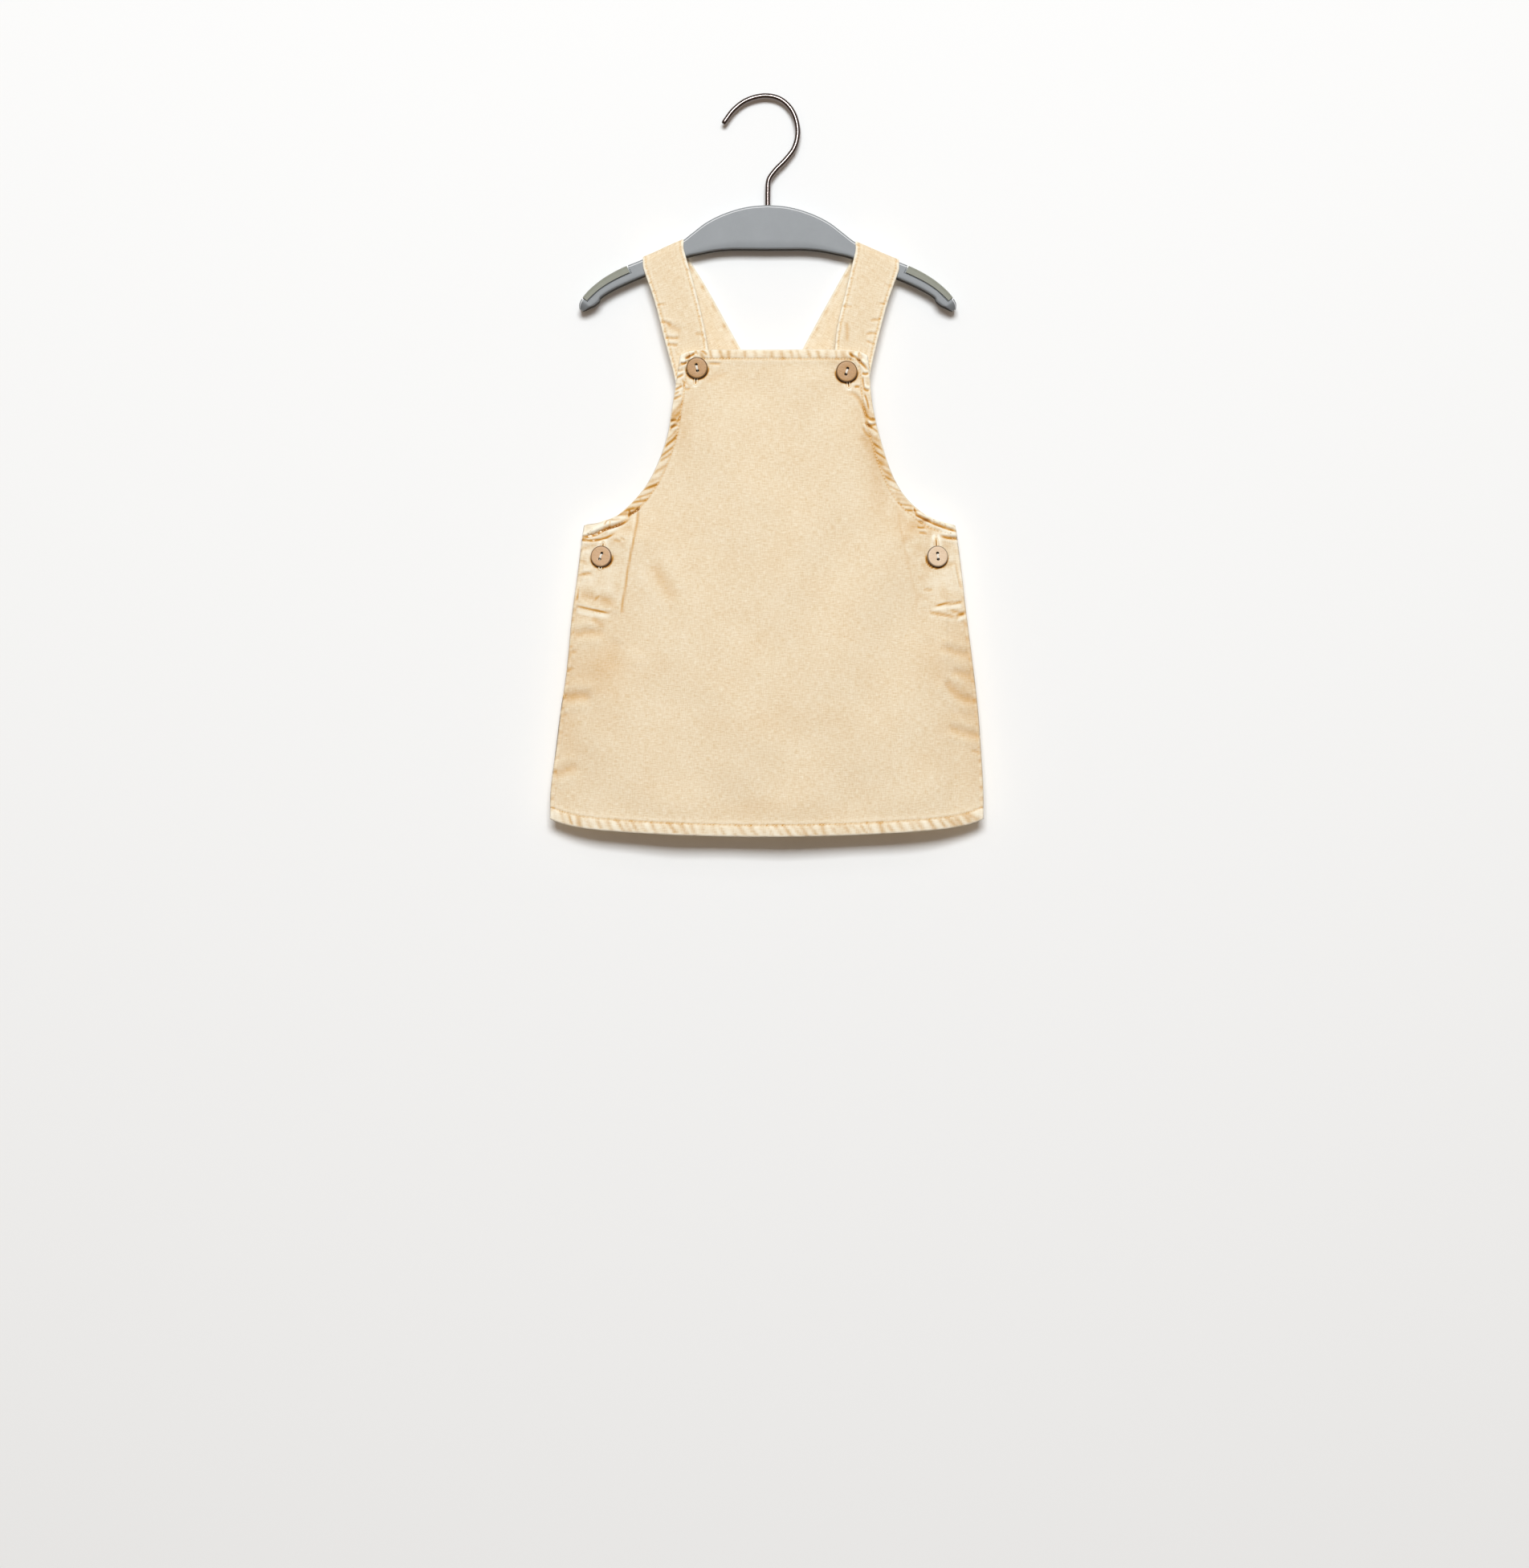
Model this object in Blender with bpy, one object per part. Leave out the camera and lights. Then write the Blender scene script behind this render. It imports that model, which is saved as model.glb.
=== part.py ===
"""A baby's pinafore dress of washed cotton, hanging on a small plastic hanger, at its real size.

The frame is in metres with +Z up. The origin is the highest point inside the hanger's hook, on
the line of its stem. The dress's front faces -Y, and left and right are as seen from the front.
The sizes below are in millimetres. Cloth pieces are walls between an outer and an inner face.
"""

from typing import NamedTuple

import bmesh
import bpy
import numpy as np
from mathutils import Matrix, Vector

MM = 0.001  # one millimetre in metres

# Cloth
CLOTH = 1.3  # wall of one layer, with the washed cloth's loft
TURNED_HEM = 0.6  # more where an edge is turned in and stitched
HEM_REACH = 8.0  # width of a turned edge
SEAM_GAP = 0.3  # between pieces that are sewn or laid together
BIB_TOP = -178.2  # height of the bib's edge on the centre line
BACK_TOP = -197.0
HEM_LOW = -520.1  # height of the hem on the centre line
ROUND_CORNER = 12  # power that rounds a panel's corners
HEM_CORNER_SHARE = 0.4  # how much of the hem's drop lies in its corners

# Straps
STRAP_CROSS_STEPS = 4
CREST_STEPS = 12

# Hanger
ARM_HALF_THICK = 5.5
ARM_SQUARENESS = 3.2  # power of the rounded section
RING_POINTS = 20
GRIP_DEPTH = 1.2
HOOK_WIRE = 3.7
HOOK_IN_BODY = 11.0  # length of stem inside the body
STEM_BORE = 4.8

# Buttons
BUTTON_ACROSS = 15.0
BUTTON_THICK = 2.6
BUTTON_HOLE = 1.9
BUTTON_HOLES_APART = 4.2
BUTTON_SEGMENTS = 28


class Edge(NamedTuple):
    """Where a panel's two side edges are at one height."""

    height: float
    left: float
    right: float


class Depth(NamedTuple):
    """How far a panel's inner face stands from the seams' plane at one height of its edge."""

    height: float
    middle: float
    edge: float


class Fold(NamedTuple):
    """A soft fold that runs down a panel and grows towards the hem."""

    centre: float
    half_width: float
    depth: float
    top: float


class StrapRow(NamedTuple):
    """Both edges of a strap's run at one place."""

    outer_x: float
    outer_z: float
    inner_x: float
    inner_z: float


class ArmRow(NamedTuple):
    """One section of the hanger's arm: its place, its half height and the way it faces."""

    x: float
    z: float
    half_height: float
    slope: float


class ButtonPlace(NamedTuple):
    """Where a button sits on the front."""

    name: str
    x: float
    z: float
    turn: float
    material: str


FRONT_ARMHOLE = (
    Edge(-182.6, -61.4, 70.2),
    Edge(-198.5, -64.0, 71.8),
    Edge(-214.0, -66.4, 73.2),
    Edge(-240.8, -71.2, 79.2),
    Edge(-268.0, -82.4, 88.8),
    Edge(-283.0, -93.6, 98.6),
    Edge(-295.0, -107.6, 113.4),
    Edge(-299.2, -119.6, 123.2),
    Edge(-300.6, -129.2, 131.8),
)
BACK_ARMHOLE = (
    Edge(-197.6, -43.0, 50.0),
    Edge(-214.0, -46.6, 53.8),
    Edge(-240.8, -56.0, 64.0),
    Edge(-268.0, -71.5, 78.5),
    Edge(-285.0, -86.5, 93.0),
    Edge(-297.0, -106.0, 112.0),
    Edge(-299.8, -118.6, 122.2),
    Edge(-300.6, -129.0, 131.6),
)
SIDE_SEAM = (
    Edge(-304.0, -130.0, 132.8),
    Edge(-337.0, -134.2, 137.0),
    Edge(-363.0, -137.8, 140.0),
    Edge(-404.0, -141.8, 145.2),
    Edge(-431.0, -145.8, 148.2),
    Edge(-458.0, -149.2, 150.2),
    Edge(-488.0, -153.0, 152.0),
    Edge(-507.6, -153.4, 152.0),
)

FRONT_DEPTH = (
    Depth(-182.6, 8.0, 7.7),
    Depth(-213.0, 8.9, 7.5),
    Depth(-241.0, 10.2, 6.4),
    Depth(-268.0, 11.2, 4.2),
    Depth(-287.0, 11.8, 1.9),
    Depth(-300.6, 12.2, SEAM_GAP / 2),
    Depth(-404.0, 13.2, SEAM_GAP / 2),
    Depth(-458.0, 12.6, SEAM_GAP / 2),
    Depth(-507.6, 11.4, SEAM_GAP / 2),
)
BACK_DEPTH = (
    Depth(-197.6, 7.7, 7.6),
    Depth(-214.0, 8.2, 7.4),
    Depth(-241.0, 8.8, 5.6),
    Depth(-268.0, 9.2, 3.6),
    Depth(-287.0, 9.5, 1.7),
    Depth(-300.6, 9.7, SEAM_GAP / 2),
    Depth(-404.0, 10.2, SEAM_GAP / 2),
    Depth(-507.6, 8.8, SEAM_GAP / 2),
)
FRONT_FOLDS = (
    Fold(-121.0, 15.0, 1.5, -372.0),
    Fold(-66.0, 21.0, 0.9, -330.0),
    Fold(6.0, 27.0, 0.8, -300.0),
    Fold(64.0, 16.0, -0.8, -350.0),
    Fold(117.0, 14.0, 1.6, -388.0),
)
BACK_FOLDS = (
    Fold(-104.0, 18.0, 1.4, -350.0),
    Fold(-38.0, 22.0, -1.0, -310.0),
    Fold(24.0, 19.0, 1.3, -290.0),
    Fold(98.0, 23.0, 1.1, -365.0),
)

# Each run of a strap from its sewn or buttoned end up towards the hanger's arm.
STRAP_LEFT = {
    "front": (
        StrapRow(-62.6, -210.5, -36.8, -204.0),
        StrapRow(-66.3, -194.0, -40.4, -187.6),
        StrapRow(-72.8, -170.0, -44.6, -162.6),
        StrapRow(-79.6, -144.0, -51.0, -135.8),
    ),
    "back": (
        StrapRow(-39.2, -212.0, -8.4, -195.4),
        StrapRow(-45.0, -201.5, -14.2, -184.8),
        StrapRow(-59.2, -174.6, -27.8, -160.2),
        StrapRow(-75.6, -143.2, -43.6, -131.8),
    ),
    "on_arm": (-87.8, -59.2),
}
STRAP_RIGHT = {
    "front": (
        StrapRow(70.0, -210.5, 43.2, -204.0),
        StrapRow(72.2, -194.0, 46.4, -187.6),
        StrapRow(77.6, -170.0, 48.8, -162.6),
        StrapRow(84.6, -144.0, 55.2, -135.8),
    ),
    "back": (
        StrapRow(45.4, -212.0, 14.8, -195.4),
        StrapRow(50.8, -201.5, 20.0, -184.8),
        StrapRow(64.4, -174.6, 33.0, -160.2),
        StrapRow(80.6, -143.2, 48.6, -131.8),
    ),
    "on_arm": (92.4, 61.8),
}

# Half of the hanger's body, from the middle to a tip. The slope is in degrees below level.
ARM = (
    ArmRow(0.0, -91.4, 15.6, 0.0),
    ArmRow(13.6, -92.0, 14.9, 3.0),
    ArmRow(27.0, -94.1, 13.0, 10.0),
    ArmRow(40.0, -98.0, 10.4, 19.0),
    ArmRow(50.0, -102.6, 7.8, 22.0),
    ArmRow(60.0, -107.3, 5.5, 22.0),
    ArmRow(88.0, -120.0, 5.5, 24.0),
    ArmRow(100.0, -125.0, 5.6, 26.0),
    ArmRow(110.0, -130.0, 5.3, 31.0),
    ArmRow(118.0, -135.2, 4.9, 39.0),
    ArmRow(125.0, -141.4, 4.5, 49.0),
    ArmRow(129.6, -146.8, 3.4, 58.0),
    ArmRow(131.2, -149.2, 1.6, 62.0),
)
GRIP_START = 96.0
GRIP_END = 127.5

# The middle of the hook's wire, from its cut end over the crest and down to the body.
HOOK_ROUTE = (
    (-31.4, -17.9),
    (-24.0, -8.1),
    (-14.6, -1.2),
    (-1.2, HOOK_WIRE / 2),
    (9.6, -1.0),
    (17.6, -9.4),
    (21.2, -22.8),
    (18.8, -34.6),
    (12.6, -43.2),
    (5.4, -50.6),
    (0.8, -57.4),
    (0.0, -66.5),
)

BUTTONS = (
    ButtonPlace("button_bib_left", -49.6, -191.2, 13.0, "button_dark"),
    ButtonPlace("button_bib_right", 55.4, -193.7, -17.0, "button_dark"),
    ButtonPlace("button_side_left", -116.7, -323.2, -20.0, "button_pale"),
    ButtonPlace("button_side_right", 119.0, -323.2, 6.0, "button_pale"),
)

COLOURS = {  # colour, roughness, metallic
    "cotton": ((0.83, 0.69, 0.47, 1.0), 0.92, 0.0),
    "hanger_plastic": ((0.18, 0.21, 0.23, 1.0), 0.45, 0.0),
    "grip_rubber": ((0.16, 0.17, 0.14, 1.0), 0.75, 0.0),
    "hook_steel": ((0.11, 0.10, 0.09, 1.0), 0.3, 1.0),
    "button_dark": ((0.36, 0.20, 0.10, 1.0), 0.5, 0.0),
    "button_pale": ((0.52, 0.36, 0.24, 1.0), 0.5, 0.0),
}


def clear_scene():
    """Removes every object that is in the scene."""
    for thing in list(bpy.data.objects):
        bpy.data.objects.remove(thing)


def material(name):
    """The named material, made once from its row of colours."""
    found = bpy.data.materials.get(name)
    if found:
        return found
    made = bpy.data.materials.new(name)
    made.use_nodes = True
    colour, roughness, metallic = COLOURS[name]
    shader = made.node_tree.nodes["Principled BSDF"]
    shader.inputs["Base Color"].default_value = colour
    shader.inputs["Roughness"].default_value = roughness
    shader.inputs["Metallic"].default_value = metallic
    made.diffuse_color = colour
    return made


def add_object(name, mesh, material_name):
    """Links a mesh as a named object with its material and smooth shading."""
    mesh.materials.append(material(material_name))
    mesh.shade_smooth()
    mesh.set_sharp_from_angle(angle=np.radians(35.0))
    thing = bpy.data.objects.new(name, mesh)
    bpy.context.scene.collection.objects.link(thing)
    return thing


def mesh_from(name, points, faces):
    """A mesh from points in millimetres, with its faces turned outwards."""
    mesh = bpy.data.meshes.new(name)
    mesh.from_pydata((np.asarray(points) * MM).tolist(), [], [list(map(int, face)) for face in faces])
    shape = bmesh.new()
    shape.from_mesh(mesh)
    bmesh.ops.recalc_face_normals(shape, faces=shape.faces)
    shape.to_mesh(mesh)
    shape.free()
    return mesh


def smooth_curve(points, count):
    """Reads evenly spaced points from the smooth curve that passes through the given ones."""
    points = np.asarray(points, float)
    padded = np.vstack([2 * points[0] - points[1], points, 2 * points[-1] - points[-2]])
    knots = np.concatenate([[0.0], np.cumsum(np.sqrt(np.linalg.norm(np.diff(padded, axis=0), axis=1)))])
    fine = []
    for i in range(1, len(padded) - 2):
        t0, t1, t2, t3 = knots[i - 1 : i + 3]
        t = np.linspace(t1, t2, 24, endpoint=False)[:, None]
        p0, p1, p2, p3 = padded[i - 1 : i + 3]
        a1 = (t1 - t) / (t1 - t0) * p0 + (t - t0) / (t1 - t0) * p1
        a2 = (t2 - t) / (t2 - t1) * p1 + (t - t1) / (t2 - t1) * p2
        a3 = (t3 - t) / (t3 - t2) * p2 + (t - t2) / (t3 - t2) * p3
        b1 = (t2 - t) / (t2 - t0) * a1 + (t - t0) / (t2 - t0) * a2
        b2 = (t3 - t) / (t3 - t1) * a2 + (t - t1) / (t3 - t1) * a3
        fine.append((t2 - t) / (t2 - t1) * b1 + (t - t1) / (t2 - t1) * b2)
    fine = np.vstack([*fine, points[-1]])
    along = np.concatenate([[0.0], np.cumsum(np.linalg.norm(np.diff(fine, axis=0), axis=1))])
    wanted = np.linspace(0.0, along[-1], count)
    return np.stack([np.interp(wanted, along, column) for column in fine.T], axis=1)


def smooth_step(value):
    """0 below 0, 1 above 1 and a soft rise between them."""
    value = np.clip(value, 0.0, 1.0)
    return value * value * (3.0 - 2.0 * value)


class Panel:
    """A cut panel: a grid of rows from its top edge to its hem and columns from left to right.

    side is -1 for the front and +1 for the back, the way its outer face looks along Y.
    """

    def __init__(self, side, armhole, depths, folds, top, arm_rows, seam_rows, columns):
        self.side = side
        self.depths = depths
        self.folds = folds
        self.edges = self.side_edges(armhole, arm_rows, seam_rows)
        self.across = np.linspace(-1.0, 1.0, columns)[None, :]
        along = np.concatenate([[0.0], np.cumsum(np.linalg.norm(np.diff(self.edges[0], axis=0), axis=1))])
        self.down = (along / along[-1])[:, None]
        self.middle_height = top + (HEM_LOW - top) * self.down

    @staticmethod
    def side_edges(armhole, arm_rows, seam_rows):
        """The left and the right edge as points (x, z), row by row."""
        edges = []
        for column in ("left", "right"):
            upper = [(getattr(row, column), row.height) for row in armhole]
            lower = [(getattr(row, column), row.height) for row in SIDE_SEAM]
            edges.append(np.vstack([smooth_curve(upper, arm_rows), smooth_curve(lower, seam_rows)]))
        return edges

    def plan(self):
        """x and z of every grid point."""
        left, right = self.edges
        share = (self.across + 1.0) / 2.0
        x = left[:, :1] * (1.0 - share) + right[:, :1] * share
        edge_height = left[:, 1:] * (1.0 - share) + right[:, 1:] * share
        corner = np.clip(1.0 - self.down / 0.12, 0.0, 1.0)
        corner = corner + HEM_CORNER_SHARE * np.clip((self.down - 0.8) / 0.2, 0.0, 1.0)
        bow = (1.0 - corner) * (1.0 - self.across**2) + corner * (1.0 - np.abs(self.across) ** ROUND_CORNER)
        z = edge_height + (self.middle_height - edge_height) * bow
        return x, z

    def relief(self, x, z):
        """Height of the soft folds, which fade out at the side seams."""
        total = np.zeros_like(x)
        for fold in self.folds:
            grown = smooth_step((fold.top - z) / (fold.top - HEM_LOW))
            total += fold.depth * np.exp(-(((x - fold.centre) / fold.half_width) ** 2)) * grown
        return total * (1.0 - self.across**4)

    def thickness(self):
        """One layer of cloth, and more along the turned edges at the top and at the hem."""
        length = np.abs(self.middle_height[-1] - self.middle_height[0])
        from_top = self.down * length
        from_hem = (1.0 - self.down) * length
        turned = 1.0 - smooth_step(np.minimum(from_top, from_hem) / HEM_REACH - 0.6)
        return CLOTH + TURNED_HEM * turned + 0.0 * self.across

    def faces(self):
        """The outer and the inner face as arrays of points."""
        x, z = self.plan()
        heights = [-row.height for row in self.depths]
        edge_height = -(self.edges[0][:, 1:] + self.edges[1][:, 1:]) / 2.0
        middle = np.interp(edge_height, heights, [row.middle for row in self.depths])
        edge = np.interp(edge_height, heights, [row.edge for row in self.depths])
        power = 2.3 + 1.2 * smooth_step(self.down)
        stand = edge + (middle - edge) * (1.0 - np.abs(self.across) ** power) + self.relief(x, z)
        inner = np.stack([x, self.side * stand, z], axis=2)
        outer = np.stack([x, self.side * (stand + self.thickness()), z], axis=2)
        return outer, inner

    def surface_at(self, x, z):
        """The point of the outer face at x and z, and the way it faces."""
        outer, _ = self.faces()
        apart = np.hypot(outer[..., 0] - x, outer[..., 2] - z)
        row, column = np.unravel_index(np.argmin(apart), apart.shape)
        row = int(np.clip(row, 1, apart.shape[0] - 2))
        column = int(np.clip(column, 1, apart.shape[1] - 2))
        across = Vector(outer[row, column + 1] - outer[row, column - 1])
        down = Vector(outer[row + 1, column] - outer[row - 1, column])
        normal = across.cross(down).normalized()
        if normal.y * self.side < 0.0:
            normal.negate()
        foot = Vector(outer[row, column])
        y = foot.y - (normal.x * (x - foot.x) + normal.z * (z - foot.z)) / normal.y
        return Vector((x, y, z)), normal


def wall_between(name, outer, inner, material_name):
    """A closed wall from two grids of points, joined round their edges."""
    rows, columns = outer.shape[:2]
    index = np.arange(rows * columns).reshape(rows, columns)
    quads = np.stack([index[:-1, :-1], index[:-1, 1:], index[1:, 1:], index[1:, :-1]], axis=-1).reshape(-1, 4)
    rim = np.concatenate([index[0, :], index[1:, -1], index[-1, -2::-1], index[-2:0:-1, 0]])
    after = np.roll(rim, -1)
    under = rows * columns
    border = np.stack([rim, rim + under, after + under, after], axis=-1)
    faces = [*quads, *(quads[:, ::-1] + under), *border]
    points = np.concatenate([outer.reshape(-1, 3), inner.reshape(-1, 3)])
    return add_object(name, mesh_from(name, points, faces), material_name)


def strap_run(rows, y):
    """One hanging run of a strap: both edges at each row, in the plane just off the arm."""
    outer = [(row.outer_x, y, row.outer_z) for row in rows]
    inner = [(row.inner_x, y, row.inner_z) for row in rows]
    return np.stack([outer, inner], axis=1)


def strap_crest(edges, off_arm):
    """The strap's turn over the arm, which keeps to the arm's own rounded section."""
    sections = arm_sections()
    _, axis, half_height, slope = (np.interp(edges, sections[:, 0], column) for column in sections.T)
    rise = half_height / np.cos(np.radians(slope)) + off_arm
    rows = []
    for turn in np.linspace(0.0, np.pi, CREST_STEPS + 1):
        y = -(ARM_HALF_THICK + off_arm) * rounded(np.cos(turn))
        z = axis + rise * rounded(np.sin(turn))
        rows.append([(x, y, height) for x, height in zip(edges, z)])
    return np.array(rows)


def rounded(value):
    """One coordinate of the arm's rounded section, from the sine or the cosine of its angle."""
    return np.sign(value) * np.abs(value) ** (2.0 / ARM_SQUARENESS)


def make_strap(name, strap):
    """A strap from behind the bib, over the hanger's arm and down to the back panel."""
    off_arm = SEAM_GAP + CLOTH / 2.0 + 0.2
    y = ARM_HALF_THICK + off_arm
    front_run = strap_run(strap["front"], -y)
    back_run = strap_run(strap["back"], y)[::-1]
    crest = strap_crest(np.array(strap["on_arm"]), off_arm)
    stations = np.concatenate([front_run, crest, back_run])
    share = np.linspace(0.0, 1.0, STRAP_CROSS_STEPS + 1)[None, :, None]
    middle = stations[:, :1] * (1.0 - share) + stations[:, 1:] * share
    normal = np.cross(np.gradient(middle, axis=0), np.gradient(middle, axis=1))
    normal /= np.linalg.norm(normal, axis=2, keepdims=True)
    if normal[len(front_run) + CREST_STEPS // 2, 0, 2] < 0.0:
        normal = -normal
    wall = normal * CLOTH / 2.0
    return wall_between(name, middle + wall, middle - wall, "cotton")


def arm_sections():
    """Sections of the whole body from the left tip to the right one, as smooth rows."""
    half = smooth_curve([(row.x, row.z, row.half_height, row.slope) for row in ARM], 19)
    left = half[:0:-1] * np.array([-1.0, 1.0, 1.0, -1.0])
    return np.vstack([left, half])


def arm_rings(sections, inset):
    """Points round each section: a rounded box that stands square to the arm's slope."""
    angle = np.linspace(0.0, 2.0 * np.pi, RING_POINTS, endpoint=False)
    deep = rounded(np.cos(angle))
    tall = rounded(np.sin(angle))
    rings = []
    for x, z, half_height, slope in sections:
        half_thick = min(ARM_HALF_THICK, half_height + 1.6)
        up = Vector((np.sin(np.radians(slope)), 0.0, np.cos(np.radians(slope))))
        centre = Vector((x, 0.0, z))
        ring = []
        for i in range(RING_POINTS):
            shrink = inset if covers_grip(i) and GRIP_START < abs(x) < GRIP_END else 0.0
            offset = up * (tall[i] * (half_height - shrink))
            offset.y = deep[i] * (half_thick - shrink)
            ring.append(centre + offset)
        rings.append(ring)
    return np.array(rings)


def covers_grip(i):
    """Whether point i of a ring lies under the grip, on the upper half of the section."""
    return 1 <= i <= RING_POINTS // 2 - 1


def section_at(sections, x):
    """The section at x, between its neighbours."""
    return tuple(np.interp(x, sections[:, 0], column) for column in sections.T)


def add_steps(sections):
    """Doubles the sections at the ends of the grips, so that the recess has square ends."""
    found = [tuple(row) for row in sections]
    for end in (-GRIP_END, -GRIP_START, GRIP_START, GRIP_END):
        for nudge in (-0.05, 0.05):
            found.append(section_at(sections, end + nudge))
    return np.array(sorted(found))


def capped_tube(rings):
    """Faces of a tube of rings, with both ends filled."""
    count, around = rings.shape[:2]
    index = np.arange(count * around).reshape(count, around)
    nxt = np.roll(index, -1, axis=1)
    sides = np.stack([index[:-1], nxt[:-1], nxt[1:], index[1:]], axis=-1).reshape(-1, 4)
    return [*sides, index[0][::-1], index[-1]]


def make_hanger_body():
    """The bowed body with its recesses, and a bore for the hook's stem."""
    sections = add_steps(arm_sections())
    rings = arm_rings(sections, GRIP_DEPTH + SEAM_GAP)
    mesh = mesh_from("hanger_body", rings.reshape(-1, 3), capped_tube(rings))
    body = add_object("hanger_body", mesh, "hanger_plastic")
    top = ARM[0].z + ARM[0].half_height
    bore = round_cutter("stem_bore", STEM_BORE / 2.0, 2.0 * (HOOK_IN_BODY + 1.0))
    bore.location = Vector((0.0, 0.0, top)) * MM
    cut(body, bore)
    return body


def round_cutter(name, radius, length, segments=16):
    """A cylinder along Z that only cuts."""
    mesh = bpy.data.meshes.new(name)
    shape = bmesh.new()
    bmesh.ops.create_cone(
        shape,
        cap_ends=True,
        segments=segments,
        radius1=radius * MM,
        radius2=radius * MM,
        depth=length * MM,
    )
    shape.to_mesh(mesh)
    shape.free()
    cutter = bpy.data.objects.new(name, mesh)
    bpy.context.scene.collection.objects.link(cutter)
    cutter.hide_render = True
    cutter.display_type = "WIRE"
    return cutter


def cut(target, cutter):
    """Takes the cutter's shape out of the target."""
    modifier = target.modifiers.new(cutter.name, "BOOLEAN")
    modifier.operation = "DIFFERENCE"
    modifier.object = cutter


def make_grip(name, side):
    """The soft pad that fills the recess in the upper half of one arm's end."""
    sections = add_steps(arm_sections())
    clear = SEAM_GAP + 0.2
    ends = sorted((side * (GRIP_START + clear), side * (GRIP_END - clear)))
    between = sections[(sections[:, 0] > ends[0]) & (sections[:, 0] < ends[1])]
    rows = np.vstack([section_at(sections, ends[0]), between, section_at(sections, ends[1])])
    outside = arm_rings(rows, 0.0)
    inside = arm_rings(rows, GRIP_DEPTH)
    reach = [i for i in range(RING_POINTS) if covers_grip(i)]
    outer = outside[:, reach]
    inner = inside[:, reach]
    for face in (outer, inner):
        for edge, inward in ((0, 1), (-1, -2)):
            step = face[:, inward] - face[:, edge]
            face[:, edge] += clear * step / np.linalg.norm(step, axis=1, keepdims=True)
    return wall_between(name, outer, inner, "grip_rubber")


def make_hook():
    """The bent wire hook, with its stem standing in the body's bore."""
    top = ARM[0].z + ARM[0].half_height
    route = smooth_curve(HOOK_ROUTE, 44)
    stem = [(0.0, z) for z in np.linspace(HOOK_ROUTE[-1][1], top - HOOK_IN_BODY, 5)[1:]]
    route = np.vstack([route, stem])
    curve = bpy.data.curves.new("hanger_hook", "CURVE")
    curve.dimensions = "3D"
    curve.bevel_depth = HOOK_WIRE / 2.0 * MM
    curve.bevel_resolution = 3
    curve.use_fill_caps = True
    spline = curve.splines.new("POLY")
    spline.points.add(len(route) - 1)
    for point, (x, z) in zip(spline.points, route):
        point.co = (x * MM, 0.0, z * MM, 1.0)
    curve.materials.append(material("hook_steel"))
    hook = bpy.data.objects.new("hanger_hook", curve)
    bpy.context.scene.collection.objects.link(hook)
    return hook


def button_mesh(name):
    """A button cut flat from wood, with its edges rounded over."""
    radius = BUTTON_ACROSS / 2.0
    half = BUTTON_THICK / 2.0
    profile = (
        (radius - 0.8, -half),
        (radius - 0.2, -half + 0.4),
        (radius, 0.0),
        (radius - 0.15, half - 0.45),
        (radius - 0.55, half - 0.1),
        (radius - 1.0, half),
    )
    angle = np.linspace(0.0, 2.0 * np.pi, BUTTON_SEGMENTS, endpoint=False)
    circle = np.stack([np.cos(angle), np.sin(angle), np.zeros_like(angle)], axis=1)
    rings = np.array([circle * across + (0.0, 0.0, height) for across, height in profile])
    return mesh_from(name, rings.reshape(-1, 3), capped_tube(rings))


def make_button(place, front):
    """A button on the front panel, with its two holes, clear of the cloth."""
    foot, normal = front.surface_at(place.x, place.z)
    centre = foot + normal * (BUTTON_THICK / 2.0 + 2.0 * SEAM_GAP)
    up = (Vector((0.0, 0.0, 1.0)) - normal * normal.z).normalized()
    stand = Matrix((up.cross(normal), up, normal)).transposed().to_4x4()
    placed = Matrix.Translation(centre * MM) @ stand @ Matrix.Rotation(np.radians(place.turn), 4, "Z")
    button = add_object(place.name, button_mesh(place.name), place.material)
    button.matrix_world = placed
    for number, side in enumerate((-0.5, 0.5)):
        hole = round_cutter(f"{place.name}_hole_{number}", BUTTON_HOLE / 2.0, 3.0 * BUTTON_THICK, 12)
        hole.matrix_world = placed @ Matrix.Translation(Vector((0.0, side * BUTTON_HOLES_APART * MM, 0.0)))
        cut(button, hole)
    return button


def main():
    """Builds the dress and the hanger that holds it."""
    clear_scene()
    front = Panel(-1.0, FRONT_ARMHOLE, FRONT_DEPTH, FRONT_FOLDS, BIB_TOP, 20, 18, 27)
    back = Panel(1.0, BACK_ARMHOLE, BACK_DEPTH, BACK_FOLDS, BACK_TOP, 16, 15, 21)
    wall_between("front_panel", *front.faces(), "cotton")
    wall_between("back_panel", *back.faces(), "cotton")
    make_strap("strap_left", STRAP_LEFT)
    make_strap("strap_right", STRAP_RIGHT)
    for place in BUTTONS:
        make_button(place, front)
    make_hanger_body()
    make_grip("grip_left", -1.0)
    make_grip("grip_right", 1.0)
    make_hook()


main()
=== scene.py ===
"""The looks of a baby's pinafore dress of washed cotton on a small plastic hanger.

Lengths are in millimetres and become metres where a mesh is written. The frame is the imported
model's: +Z up, the origin under the crest of the hook, and the dress's front towards -Y. Left and
right are as seen from the front.
"""

import logging
from collections.abc import Callable
from dataclasses import dataclass, field
from enum import Enum
from typing import NamedTuple

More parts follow.
